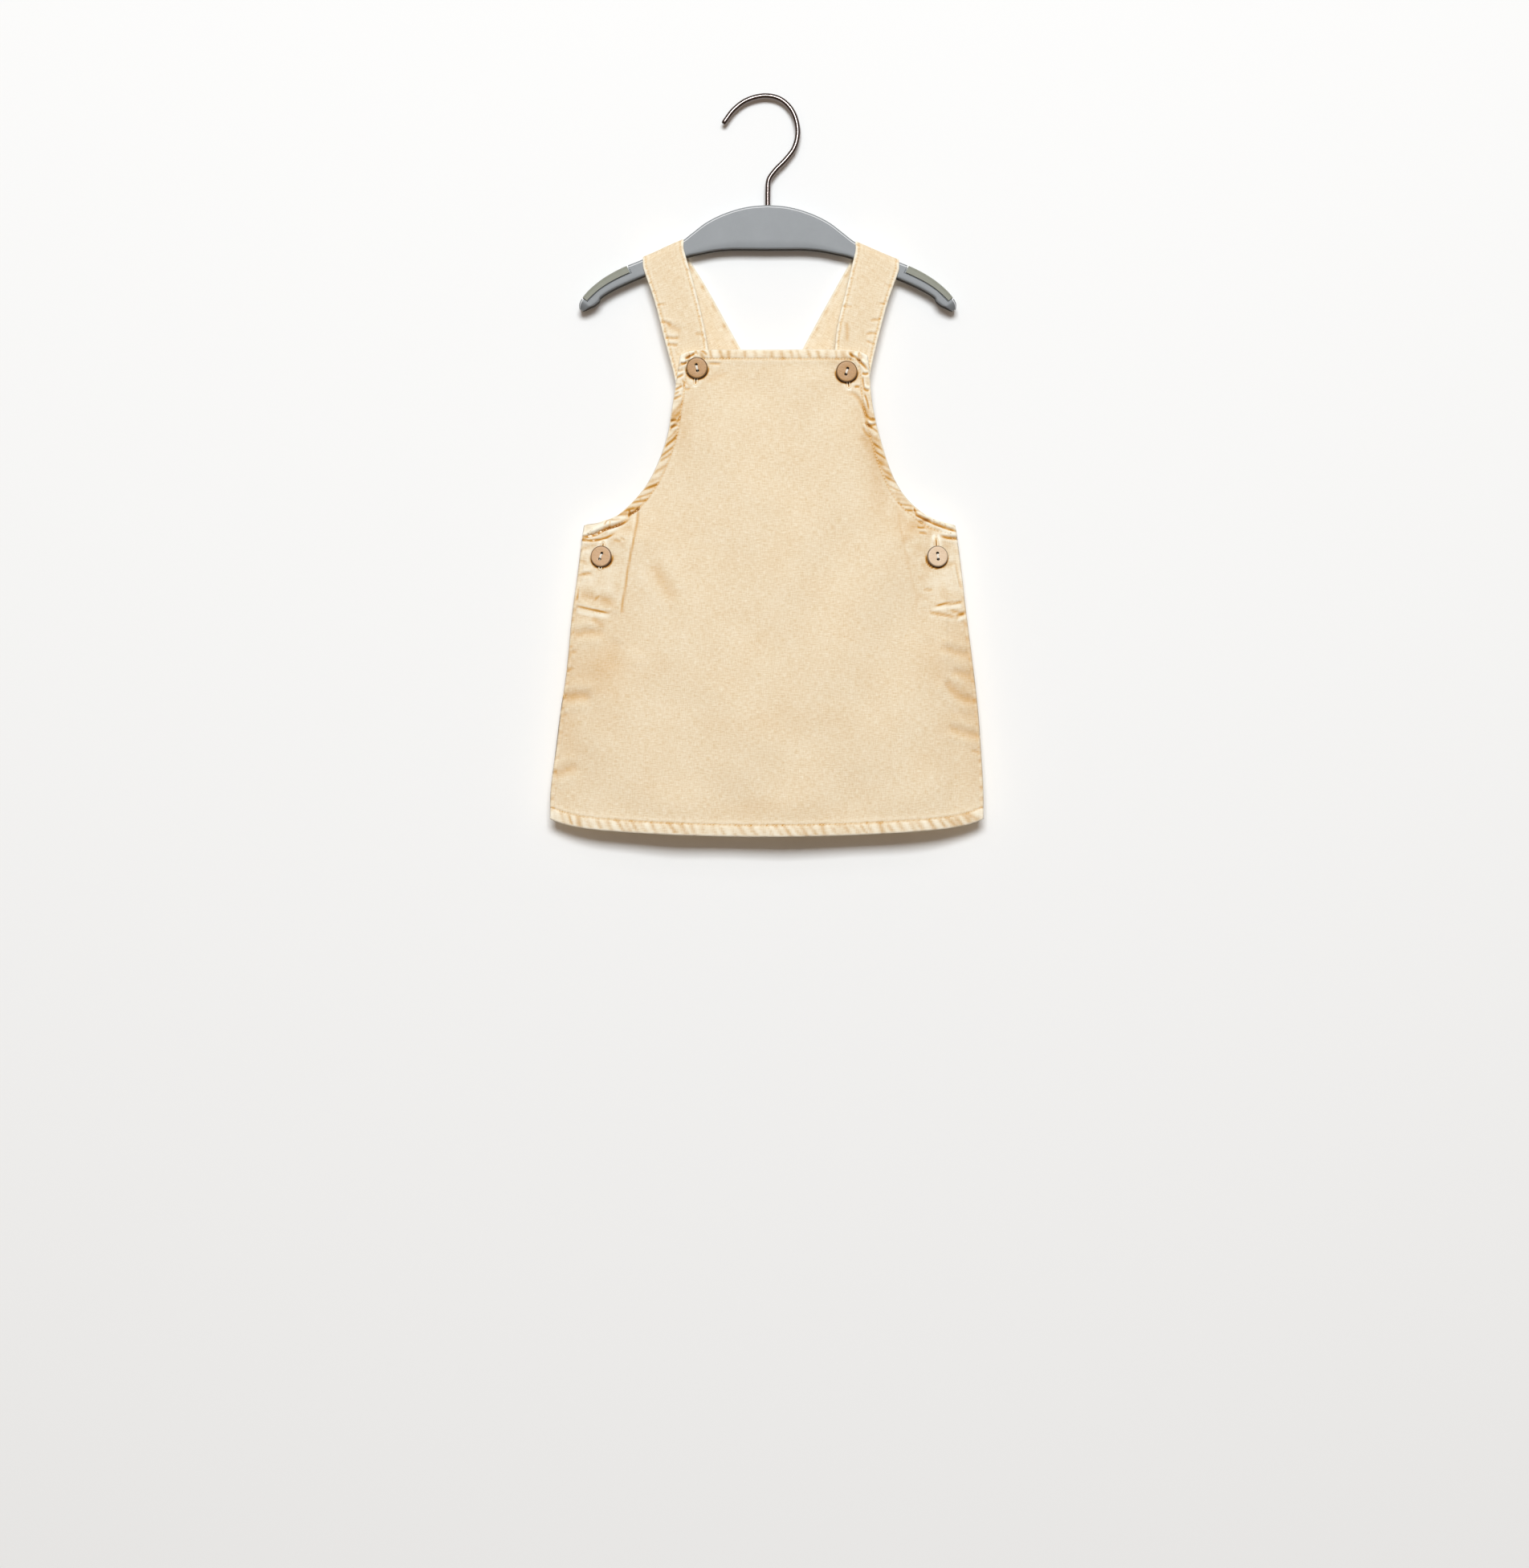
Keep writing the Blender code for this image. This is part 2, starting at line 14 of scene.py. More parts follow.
import bmesh
import bpy
import numpy as np
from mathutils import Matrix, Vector


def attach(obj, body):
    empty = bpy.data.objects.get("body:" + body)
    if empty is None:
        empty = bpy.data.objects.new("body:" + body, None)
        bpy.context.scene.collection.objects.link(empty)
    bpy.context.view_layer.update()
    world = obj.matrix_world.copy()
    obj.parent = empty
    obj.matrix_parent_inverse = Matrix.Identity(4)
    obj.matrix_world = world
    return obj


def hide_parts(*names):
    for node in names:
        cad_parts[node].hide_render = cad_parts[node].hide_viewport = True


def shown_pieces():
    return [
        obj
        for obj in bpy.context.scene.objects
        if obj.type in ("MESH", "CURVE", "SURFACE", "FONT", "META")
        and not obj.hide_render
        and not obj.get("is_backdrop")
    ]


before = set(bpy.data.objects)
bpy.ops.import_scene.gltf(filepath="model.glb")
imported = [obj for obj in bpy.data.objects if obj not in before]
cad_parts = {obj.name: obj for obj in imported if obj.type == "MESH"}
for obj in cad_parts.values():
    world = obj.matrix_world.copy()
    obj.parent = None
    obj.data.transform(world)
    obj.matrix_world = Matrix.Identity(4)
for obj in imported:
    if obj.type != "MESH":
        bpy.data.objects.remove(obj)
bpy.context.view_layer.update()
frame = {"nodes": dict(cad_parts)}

MM = 0.001  # one millimetre in metres

Array = np.ndarray
Point = tuple[float, float]
Piece = bpy.types.Object
Socket = bpy.types.NodeSocket
log = logging.getLogger("pinafore")

# Cloth
CLOTH = 1.3  # wall of one layer
TURNED_HEM = 0.6  # more where an edge is turned in and stitched
HEM_REACH = 8.0
SEAM_GAP = 0.3  # between pieces that are sewn or laid together
ROUND_CORNER = 12  # power that rounds a panel's corners
HEM_CORNER_SHARE = 0.4
HEM_LOW = -520.1  # height of the hem on the centre line
EDGE_ROUND = 1.0  # radius of a folded edge
STITCH_PITCH = 2.2  # from one needle hole to the next
INNER_STRIDE = 3  # the inner face has a point for every third one of the outer face

# Buttons
BUTTON_ACROSS = 15.0
HOLES_APART = 4.2

# Hanger
ARM_HALF_THICK = 5.5
ARM_SQUARENESS = 3.2
GRIP_START = 96.0
GRIP_END = 127.5
GRIP_DEPTH = 1.2
HOOK_WIRE = 3.7
HOOK_IN_BODY = 11.0
SHARP_MOULDING = 38.0  # degrees past which an edge of the body or a grip stays sharp


class EdgeRow(NamedTuple):
    """Where a panel's two side edges are at one height."""

    height: float
    left: float
    right: float


class DepthRow(NamedTuple):
    """How far a panel's inner face stands from the seams' plane, by the height of its edge."""

    height: float
    middle: float
    edge: float


class Fold(NamedTuple):
    """A soft fold that runs down a panel and grows towards the hem."""

    centre: float
    half_width: float
    depth: float
    top: float


class StrapRow(NamedTuple):
    """Both edges of a strap's run at one place."""

    outer_x: float
    outer_z: float
    inner_x: float
    inner_z: float


class ArmRow(NamedTuple):
    """One section of the hanger's arm: its place, its half height and its slope in degrees."""

    x: float
    z: float
    half_height: float
    slope: float


class Crease(NamedTuple):
    """A crease pressed into the cloth along a bent line, from x, z to end_x, end_z.

    bow is how far the line's middle stands to the left of its straight way, and colour how dark
    it is: dye left in it, with painted shade of the fold.
    """

    x: float
    z: float
    end_x: float
    end_z: float
    bow: float
    width: float
    depth: float
    colour: float


class Furrow(NamedTuple):
    """A crease along a smooth line through points, given as x and z in turn.

    Below 0 its depth and colour make a pale ridge.
    """

    points: tuple[float, ...]
    width: float
    depth: float
    colour: float


class TonePatch(NamedTuple):
    """A soft patch of colour: above 0 paler, below 0 deeper as painted shade."""

    x: float
    z: float
    wide: float
    tall: float
    tone: float


class ButtonSeat(NamedTuple):
    """Where a button sits on the front, and its turn in degrees."""

    x: float
    z: float
    turn: float


class Placket(NamedTuple):
    """A doubled strip beside a side seam. inside is 1 where it lies left of its edge's way.

    Its edge and its end are lines of points, given as x and z in turn.
    """

    edge: tuple[float, ...]
    end: tuple[float, ...]
    inside: float
    step: float
    line: float


class Border(Enum):
    """The borders of a panel or a strap. Above 0, outwards is to the left of the border's line."""

    TOP = 1
    HEM = -1
    ARM_LEFT = -2
    ARM_RIGHT = 2
    SEAM_LEFT = -3
    SEAM_RIGHT = 3


@dataclass(frozen=True)
class TurnedEdge:
    """An edge turned in and stitched, drawn into puckers by its thread.

    Lengths are measured from the edge, and start and stop are shares of the border's length
    between which the puckers lie.
    """

    border: Border
    width: float
    puff: float
    pitch: float
    slant: float
    pucker_width: float
    depth: float
    pale: float
    ochre: float
    seed: int
    start: float = 0.0
    stop: float = 1.0
    groove: float = 0.35
    scallop: float = 0.25
    stitched: bool = True


def table(kind: type, rows: tuple) -> tuple:
    """Names the columns of every row."""
    return tuple(kind(*row) for row in rows)


FRONT_ARMHOLE = table(EdgeRow, (
    (-182.6, -61.4, 70.2), (-198.5, -64, 71.8), (-214, -66.4, 73.2), (-240.8, -71.2, 79.2),
    (-268, -82.4, 88.8), (-283, -93.6, 98.6), (-295, -107.6, 113.4), (-299.2, -119.6, 123.2),
    (-300.6, -129.2, 131.8),
))
BACK_ARMHOLE = table(EdgeRow, (
    (-197.6, -43, 50), (-214, -46.6, 53.8), (-240.8, -56, 64), (-268, -71.5, 78.5), (-285, -86.5, 93),
    (-297, -106, 112), (-299.8, -118.6, 122.2), (-300.6, -129, 131.6),
))
SIDE_SEAM = table(EdgeRow, (
    (-304, -130, 132.8), (-337, -134.2, 137), (-363, -137.8, 140), (-404, -141.8, 145.2),
    (-431, -145.8, 148.2), (-458, -149.2, 150.2), (-488, -153, 152), (-507.6, -153.4, 152),
))
FRONT_DEPTH = table(DepthRow, (
    (-182.6, 8, 7.7), (-213, 8.9, 7.5), (-241, 10.2, 6.4), (-268, 11.2, 4.2), (-287, 11.8, 1.9),
    (-300.6, 12.2, SEAM_GAP / 2), (-404, 13.2, SEAM_GAP / 2), (-458, 12.6, SEAM_GAP / 2),
    (-507.6, 11.4, SEAM_GAP / 2),
))
BACK_DEPTH = table(DepthRow, (
    (-197.6, 7.7, 7.6), (-214, 8.2, 7.4), (-241, 8.8, 5.6), (-268, 9.2, 3.6), (-287, 9.5, 1.7),
    (-300.6, 9.7, SEAM_GAP / 2), (-404, 10.2, SEAM_GAP / 2), (-507.6, 8.8, SEAM_GAP / 2),
))
FRONT_FOLDS = table(Fold, (
    (-121, 15, 1.5, -372), (-66, 21, 0.9, -330), (6, 27, 0.8, -300), (64, 16, -0.8, -350),
    (117, 14, 1.6, -388),
))
BACK_FOLDS = table(Fold, (
    (-104, 18, 1.4, -350), (-38, 22, -1, -310), (24, 19, 1.3, -290), (98, 23, 1.1, -365),
))

# Each run of a strap from its sewn or buttoned end up towards the hanger's arm.
STRAP_LEFT = {
    "front": table(StrapRow, (
        (-62.6, -210.5, -36.8, -204), (-66.3, -194, -40.4, -187.6), (-72.8, -170, -44.6, -162.6),
        (-79.6, -144, -51, -135.8),
    )),
    "back": table(StrapRow, (
        (-39.2, -212, -8.4, -195.4), (-45, -201.5, -14.2, -184.8), (-59.2, -174.6, -27.8, -160.2),
        (-75.6, -143.2, -43.6, -131.8),
    )),
    "on_arm": (-87.8, -59.2),
}
STRAP_RIGHT = {
    "front": table(StrapRow, (
        (70, -210.5, 43.2, -204), (72.2, -194, 46.4, -187.6), (77.6, -170, 48.8, -162.6),
        (84.6, -144, 55.2, -135.8),
    )),
    "back": table(StrapRow, (
        (45.4, -212, 14.8, -195.4), (50.8, -201.5, 20, -184.8), (64.4, -174.6, 33, -160.2),
        (80.6, -143.2, 48.6, -131.8),
    )),
    "on_arm": (92.4, 61.8),
}

ARM = table(ArmRow, (
    (0, -91.4, 15.6, 0), (13.6, -92, 14.9, 3), (27, -94.1, 13, 10), (40, -98, 10.4, 19),
    (50, -102.6, 7.8, 22), (60, -107.3, 5.5, 22), (88, -120, 5.5, 24), (100, -125, 5.6, 26),
    (110, -130, 5.3, 31), (118, -135.2, 4.9, 39), (125, -141.4, 4.5, 49), (129.6, -146.8, 3.4, 58),
    (131.2, -149.2, 1.6, 62),
))
HOOK_ROUTE = (
    (-31.4, -17.9), (-24, -8.1), (-14.6, -1.2), (-1.2, HOOK_WIRE / 2), (9.6, -1), (17.6, -9.4),
    (21.2, -22.8), (18.8, -34.6), (12.6, -43.2), (5.4, -50.6), (0.8, -57.4), (0, -66.5),
)

# The creases below are set where the photograph shows them.
# Their colour is dye left in the creases, with painted shade of the folds.
FRONT_CREASES = table(Crease, (
    (-58.2, -199.2, -55, -203.6, -0.6, 0.7, 0.35, 0.6), (-44.6, -202, -26, -194, 1.4, 2.2, 0.25, 0.25),
    (67.8, -228.6, 74.4, -233.4, -1, 0.8, 0.5, 1.1), (66.4, -232, 72.8, -240.2, -0.8, 1, 0.35, 0.7),
    (66, -236, 80, -262, 1.5, 3.6, 0.5, 0.35), (-103.4, -310.2, -100, -312.6, 0.3, 0.7, 0.4, 0.8),
    (-134, -349, -104, -355, -1, 3.2, 0.4, 0.45), (-131.8, -336.4, -122, -335.6, 0.6, 1.4, 0.5, 0.6),
    (-136, -357.6, -107.5, -362.8, -0.8, 0.7, 0.7, 1.7),
    (-137, -361, -108.5, -365.8, -0.8, 1.2, -0.25, -0.8), (109.2, -345.6, 116.4, -345.8, -1, 1, 0.5, 0.9),
    (138.6, -354.1, 115.4, -357.6, 0.4, 0.7, 0.7, 1.7), (139, -357.2, 114, -360.6, 0.4, 1.1, -0.25, -0.9),
    (112.4, -361.8, 134, -365.4, -0.6, 1.1, 0.5, 1), (131.6, -365.6, 140.4, -361, -0.4, 1, 0.5, 1.1),
    (133, -368.4, 141, -364, -0.4, 1.2, -0.3, -0.8), (-138, -378.6, -113, -377, 1.6, 3, 0.8, 0.45),
    (-141, -392, -133, -389.4, 0.6, 1.3, 0.4, 0.5), (-142.8, -404, -136, -401.4, 0.5, 1.2, 0.4, 0.5),
    (-148, -424, -122, -422, 2, 3.4, 1, 0.5), (-146.6, -436, -140, -434, 0.5, 1.2, 0.3, 0.4),
    (-153, -479, -132, -470, 1, 3.2, 0.7, 0.4), (-104, -381, -108, -404, -2, 7, 0.6, 0.12),
    (-81, -326, -62, -356, -2, 5, 0.5, 0.4), (-124, -366, -114, -372, -0.6, 2, 0.4, 0.6),
    (-134.4, -336.6, -123, -334.4, 0.5, 0.9, 0.3, 0.8), (-134, -319.8, -124.6, -316.4, 0.8, 1.3, 0.4, 0.7),
    (-133, -326, -126, -328.6, 0.5, 1, 0.3, 0.6), (-122, -354, -117.6, -350.6, 0.3, 0.8, 0.3, 0.8),
    (-108.6, -311.6, -102.4, -313.4, 0.4, 0.8, 0.3, 0.7), (-133.4, -344, -134.6, -355, 0.3, 0.6, 0.3, 0.8),
    (132, -326, 137, -348, -0.4, 0.8, 0.3, 0.6), (108, -327, 117, -333.6, -1.2, 1.6, 0.35, 0.45),
    (122, -331, 133, -325.4, -1, 1.4, 0.3, 0.5), (120, -386, 146, -392.8, -1, 2.6, 0.8, 0.3),
    (128, -402.6, 148, -407.6, -0.8, 2.4, 0.7, 0.28), (126, -441.6, 152, -449, -1.6, 2.8, 0.9, 0.35),
    (143, -459, 151, -461, -0.3, 1.2, 0.4, 0.5), (128, -361.4, 140, -364.6, 0.5, 1.2, 0.6, 0.9),
    (112, -378, 124, -414, -3, 7, 0.6, 0.15),
))
FRONT_FURROWS = table(Furrow, (
    ((-61.4, -185.4, -60.6, -182.5, -58.3, -180.6, -54.9, -179.4, -50.9, -178.6), 1.3, -0.68, -1.2),
    ((-61.7, -187.7, -59.4, -188, -56.3, -187.1), 0.7, 0.94, 1.9),
    ((-58.6, -185.1, -54.9, -183.1, -52.1, -181.5, -50.1, -179.9), 0.7, 0.94, 1.8),
    ((-50.8, -178.3, -50.1, -180.4, -48.4, -182), 0.7, 0.68, 1.4),
    ((-46.7, -178.2, -44.7, -180, -42.4, -182.5), 0.7, 0.68, 1.4),
    ((-41.9, -188, -38.5, -187.9, -32.3, -188.4), 0.9, 0.54, 0.9),
    ((-64.8, -198.5, -62, -197, -58.5, -195.1), 0.8, 0.94, 1.9),
    ((-64.9, -202.6, -62.3, -202.7, -60, -201.3), 0.7, 0.54, 1),
    ((-65.3, -207, -62.5, -204.9, -59.1, -203), 0.8, 0.94, 1.9),
    ((-66.6, -213.3, -63.6, -211.7, -59.8, -210), 0.8, 0.81, 1.4),
    ((-65.9, -209.9, -64.1, -208.9, -61.7, -207.1), 0.8, 0.68, 1.2),
    ((-69.1, -227.9, -66.4, -227.8, -63.5, -227), 0.8, 0.81, 1.5),
    ((-69.1, -232.9, -66.2, -231.9, -62.4, -230.9), 0.8, 0.81, 1.4),
    ((-63.2, -191.6, -61.7, -193.3, -59.1, -191.7), 0.8, 0.68, 1),
    ((-58.5, -205.3, -56.3, -205.9, -54.1, -205.3), 0.8, 0.54, 0.9),
    ((-60.3, -198.9, -58.8, -201.8, -59, -205.7), 0.6, 0.54, 1.1),
    ((124.4, -408, 128.6, -415, 136.4, -421.8, 148.6, -425), 2.9, 1, 0.45),
    ((65.7, -180.6, 68.5, -181.9, 70.4, -185), 1.6, -0.81, -1.2),
    ((57.2, -178, 58, -181.3, 62.3, -184.3, 66.7, -188.8, 71.7, -193.9), 0.8, 0.94, 1.8),
    ((65.9, -194.5, 68.5, -195.3, 71.3, -194.6), 0.8, 0.94, 2.1),
    ((66.6, -197.3, 66.9, -201.2, 67.5, -205.5), 0.6, 0.68, 1.3),
    ((60.8, -204.7, 62.6, -204, 64.8, -204.4), 0.9, 0.68, 1.4),
    ((67.1, -204.9, 69.1, -206.6, 71.5, -206.9), 0.8, 0.68, 1.3),
    ((67.9, -202.3, 69.6, -204.4, 72.2, -204.6), 0.9, -0.54, -1),
    ((54.3, -206.5, 57.2, -208.3, 62.3, -210.3, 65, -214, 67.4, -219, 68.7, -222.7, 71.2, -226.6, 75.5,
     -226), 1.4, 0.34, 0.5),
    ((60.3, -207, 63.4, -208.3, 66.4, -212.3, 68.8, -217.6), 1.3, -0.3, -0.35),
    ((67.9, -208.9, 70, -215.2, 71.2, -221.6), 0.6, 0.54, 1.3),
    ((68.5, -227.7, 71.7, -231.1, 76.9, -230.4), 0.8, 0.6, 1.3),
    ((72.8, -225.9, 75.3, -227, 77.8, -226.7), 0.7, 0.5, 1),
    ((70.5, -228.7, 73.6, -229.3, 77, -228.5), 0.9, -0.54, -0.9),
    ((-129, -304, -122.3, -303.3, -113.8, -300.2, -105.3, -297.4, -97.9, -293.6), 2.8, -1.5, -0.5),
    ((-129, -300.9, -122.3, -300, -113.8, -296.8, -105.3, -294), 0.5, 0.1, 0.9),
    ((-136, -309.6, -129.3, -309.1, -122.3, -307.8, -115.2, -304.3, -108.1, -302.3, -100.2, -299.1, -95.1,
     -294.9), 0.9, 1.35, 2.2),
    ((-136, -310.6, -129.3, -311.4, -121.7, -311.6, -113.8, -310.1, -106.2, -306.1), 0.8, 1.08, 2),
    ((-128.5, -306.3, -121.1, -305, -115.5, -301.7), 1.5, -0.68, -1),
    ((-113.2, -306.5, -109.2, -304.8, -105.8, -302.8), 1.2, -0.54, -0.9),
    ((-114.6, -302.5, -113.5, -299.6, -111.7, -297.4), 0.6, 0.81, 1.5),
    ((-112.1, -304.2, -110.6, -300.3, -111.3, -298.6), 0.6, 0.81, 1.4),
    ((-97.9, -295.7, -96.8, -292.2, -97.6, -290.1), 0.6, 0.81, 1.5),
    ((-97.4, -293.5, -93.4, -291.8, -90, -288.9), 0.7, 0.81, 1.5),
    ((131.7, -303.2, 124.5, -300.9, 117.2, -298.1, 109.8, -294.9, 103.6, -291.5), 2.4, -1.35, -0.5),
    ((131.7, -300.7, 124.5, -298.4, 117.2, -295.6, 109.8, -292.4), 0.5, 0.1, 0.8),
    ((138, -305.9, 132.7, -305.1, 125.1, -303.1, 117.2, -300.3, 112.4, -298, 105.3, -294.4, 99, -290), 0.8,
     1.22, 2.1),
    ((138, -310.7, 132.7, -310.3, 126.8, -309.8, 120.9, -308.2), 0.9, 1.08, 1.9),
    ((132.4, -307.8, 125.7, -306.3, 120, -304.8), 1.6, -0.68, -0.9),
    ((103, -288.4, 103.9, -291.8, 105.5, -294), 0.6, 0.81, 1.5),
    ((116, -294.8, 116.5, -297.8, 117.5, -300), 0.6, 0.81, 1.5),
    ((120.6, -296.1, 121, -299.1, 121.7, -301.5), 0.6, 0.81, 1.4),
    ((124.3, -298, 124.5, -300.5, 125.3, -302.8), 0.6, 0.68, 1.3),
    ((104.7, -302.3, 107.9, -302.9, 111.3, -302.2), 0.8, 0.54, 1.1),
    ((105.8, -306.4, 109.2, -306.7, 112.6, -307.4), 0.8, 0.54, 1),
))
BACK_CREASES = table(Crease, (
    (-57, -212, -46, -219, 1.2, 1.2, 0.5, 0.7), (-52, -228.6, -44.4, -231.4, 0.8, 0.9, 0.4, 0.8),
    (61.6, -226, 48, -232.6, -1.4, 1.3, 0.5, 0.7), (60, -214.8, 52.4, -213, 0.5, 0.9, 0.5, 0.8),
    (-127.6, -309.6, -112.4, -305.8, -1, 0.9, 0.6, 0.9), (131.8, -311.2, 116, -306.6, 1, 0.9, 0.6, 0.9),
    (-140.6, -398, -126, -391, 1.6, 1.8, 0.8, 0.6), (-144, -430.4, -133.6, -425.6, 1, 1.3, 0.6, 0.7),
    (-121, -372, -103, -398, -3, 6.5, 0.8, 0.12), (144.4, -409, 130, -403.4, -1.4, 1.7, 0.8, 0.7),
    (147.6, -436.6, 139, -433.4, -0.8, 1.2, 0.6, 0.7), (120, -352.6, 98, -388, 3.6, 7.5, 0.7, 0.12),
    (-30, -262, 12, -268, -3, 7, 0.45, 0.06), (20, -330, 62, -318, 4, 8, 0.4, 0.06),
))
# Here x is the place across the strap, and z the place along it from its front end.
STRAP_CREASES = {
    "left": table(Crease, (
        (0.4, 37, 8.4, 34, 0.6, 1, 0.5, 1), (0.4, 43, 11, 39.6, -0.8, 1, 0.5, 0.9),
        (0.6, 54, 7.4, 49, 0.6, 1.1, 0.5, 0.9), (2.2, 50, 13, 43, 1.2, 2, 0.35, 0.4),
        (0.4, 66, 6.4, 64.8, 0.4, 0.9, 0.4, 0.8), (21, 39.6, 27.6, 36.4, 0.6, 1.3, 0.3, 0.6),
        (0.8, 74.4, 5, 75.4, 0.4, 0.9, 0.25, 0.4),
    )),
    "right": table(Crease, (
        (0.6, 36, 8, 37.4, 0.6, 0.9, 0.5, 0.9), (0.6, 44.6, 9, 41.8, 0.8, 1, 0.4, 0.9),
        (0.6, 56, 8.4, 53, -0.6, 1, 0.4, 0.8), (0.4, 66.4, 5.6, 65, 0.4, 0.9, 0.4, 0.8),
        (20.6, 33, 23.6, 48, 0.8, 1.3, 0.4, 0.6), (21.4, 58.6, 28.4, 56.2, 0.6, 1.2, 0.3, 0.5),
        (0.8, 79, 6, 80.4, 0.4, 1, 0.25, 0.4),
    )),
}

# Below 0 these patches are painted shade of folds, of the armholes' inner sides and of the skirt's sides;
# above 0 they are paler patches of the cloth.
FRONT_TONE_PATCHES = table(TonePatch, (
    (-115.3, -312.6, 2, 1.4, 2.6), (116.8, -309.6, 1.1, 1.9, 2.2), (120.2, -309.8, 1, 1.9, 2.2),
    (-50.8, -203.4, 1.5, 1.1, 1.8), (57.2, -205.6, 1.5, 1.1, 1.8), (78, -268, 8, 26, -0.3),
    (100, -303, 12, 8, -0.4), (68, -214, 6, 12, -0.45), (71, -240, 8, 16, -0.35), (-60, -238, 6, 20, -0.25),
    (-58, -190, 6, 4, -0.2), (50, -186, 12, 3, -0.3), (-117, -402, 16, 26, -0.2),
    (136, -412, 12, 40, -0.16), (-118, -341, 15, 8, 0.3), (-126, -325, 5, 14, 0.2),
    (126, -338, 12, 12, 0.35), (131, -318, 5, 8, 0.2), (-143, -372, 6, 26, -0.15),
    (-142, -430, 9, 40, -0.2), (-120, -400, 12, 18, -0.15), (144, -400, 8, 30, -0.25),
    (147, -455, 7, 34, -0.2), (0, -440, 60, 10, -0.08), (0, -500, 40, 8, -0.15),
))
# These patches are painted shade on the skirt's sides and across its middle.
BACK_TONE_PATCHES = table(TonePatch, (
    (-141, -400, 9, 50, -0.18), (143, -420, 9, 50, -0.2), (10, -430, 50, 12, -0.06),
))
BUTTON_SEATS = table(ButtonSeat, (
    (-49.6, -191.2, 13), (55.4, -193.7, -17), (-116.7, -323.2, -20), (119, -323.2, 6),
))
PLACKETS = table(Placket, (
    ((-91.4, -290, -92.3, -300.7, -95.1, -315, -97, -323.7, -98.6, -331.6, -100.2, -342.7, -102.6, -356.1,
      -103, -366),
     (-139, -357.4, -135, -357.8, -127.9, -359, -121.7, -361.4, -116, -362.6, -104, -363.2),
     -1, 0.4, 1.25),
    ((91.4, -288, 93, -300, 96, -316, 100, -332, 103.6, -346, 106, -362),
     (142, -353.6, 138.6, -354.1, 129, -355.2, 121.1, -356.3, 112, -358),
     1, 0.25, 0.25),
))

FRONT_EDGES = table(TurnedEdge, (
    (Border.TOP, 6.4, 0.55, 5.8, 0.2, 1.5, 0.3, 0.6, 1.1, 3, 0.03, 0.97),
    (Border.HEM, 8, 0.35, 6.6, -0.55, 1.8, 0.26, 0.75, 1.1, 5, 0.01, 0.99),
    (Border.ARM_LEFT, 6.4, 0.5, 6.8, -1.4, 1.9, 0.5, 0.4, 1.7, 7, 0.22, 0.84),
    (Border.ARM_RIGHT, 6.4, 0.5, 6.2, -1.15, 1.6, 0.45, 0.4, 1.4, 11, 0.26, 0.88),
    (Border.SEAM_LEFT, 2.6, 0.2, 8.4, -0.3, 1.3, 0.35, 0.12, 0.6, 13, 0.2, 0.97, 0.2, 0.2, False),
    (Border.SEAM_RIGHT, 2.6, 0.2, 8, -0.3, 1.3, 0.35, 0.12, 0.6, 17, 0.2, 0.97, 0.2, 0.2, False),
))
BACK_EDGES = table(TurnedEdge, (
    (Border.TOP, 6.4, 0.5, 6.4, 0.3, 0.95, 0.42, 0.5, 1, 23, 0.02, 0.98),
    (Border.HEM, 8, 0.35, 7.1, 0.45, 1.5, 0.34, 0.55, 0.75, 25, 0.01, 0.99),
    (Border.ARM_LEFT, 7, 0.5, 6.6, -0.55, 0.9, 0.55, 0.5, 1.1, 27, 0.04, 0.95),
    (Border.ARM_RIGHT, 7, 0.5, 6.2, -0.5, 0.9, 0.55, 0.5, 1.1, 31, 0.04, 0.95),
    (Border.SEAM_LEFT, 2.6, 0.2, 8.8, -0.3, 1.3, 0.35, 0.25, 0.6, 33, 0.05, 0.97, 0.2, 0.2, False),
    (Border.SEAM_RIGHT, 2.6, 0.2, 8.2, -0.3, 1.3, 0.35, 0.25, 0.6, 37, 0.05, 0.97, 0.2, 0.2, False),
))


def bell(value: Array) -> Array:
    """A smooth hump: e to the power of minus the square of value."""
    return np.exp(-np.square(value))


def smooth_step(value: Array) -> Array:
    """0 below 0, 1 above 1 and a soft rise between them: 3 v squared less 2 v cubed."""
    value = np.clip(value, 0.0, 1.0)
    return value * value * (3.0 - 2.0 * value)


def unit(ways: Array) -> Array:
    """The same directions, each one long."""
    return ways / np.linalg.norm(ways, axis=-1, keepdims=True)


def read_rows(wanted: Array, places: Array, rows: Array) -> Array:
    """Every column of some rows, read at the wanted places between them."""
    return np.stack([np.interp(wanted, places, column) for column in rows.T], axis=-1)


def once_round(count: int) -> Array:
    """Angles once round a circle."""
    return np.linspace(0.0, 2.0 * np.pi, count, endpoint=False)


def as_line(numbers: tuple[float, ...]) -> Array:
    """Points (x, z) from x and z in turn."""
    return np.array(numbers, float).reshape(-1, 2)


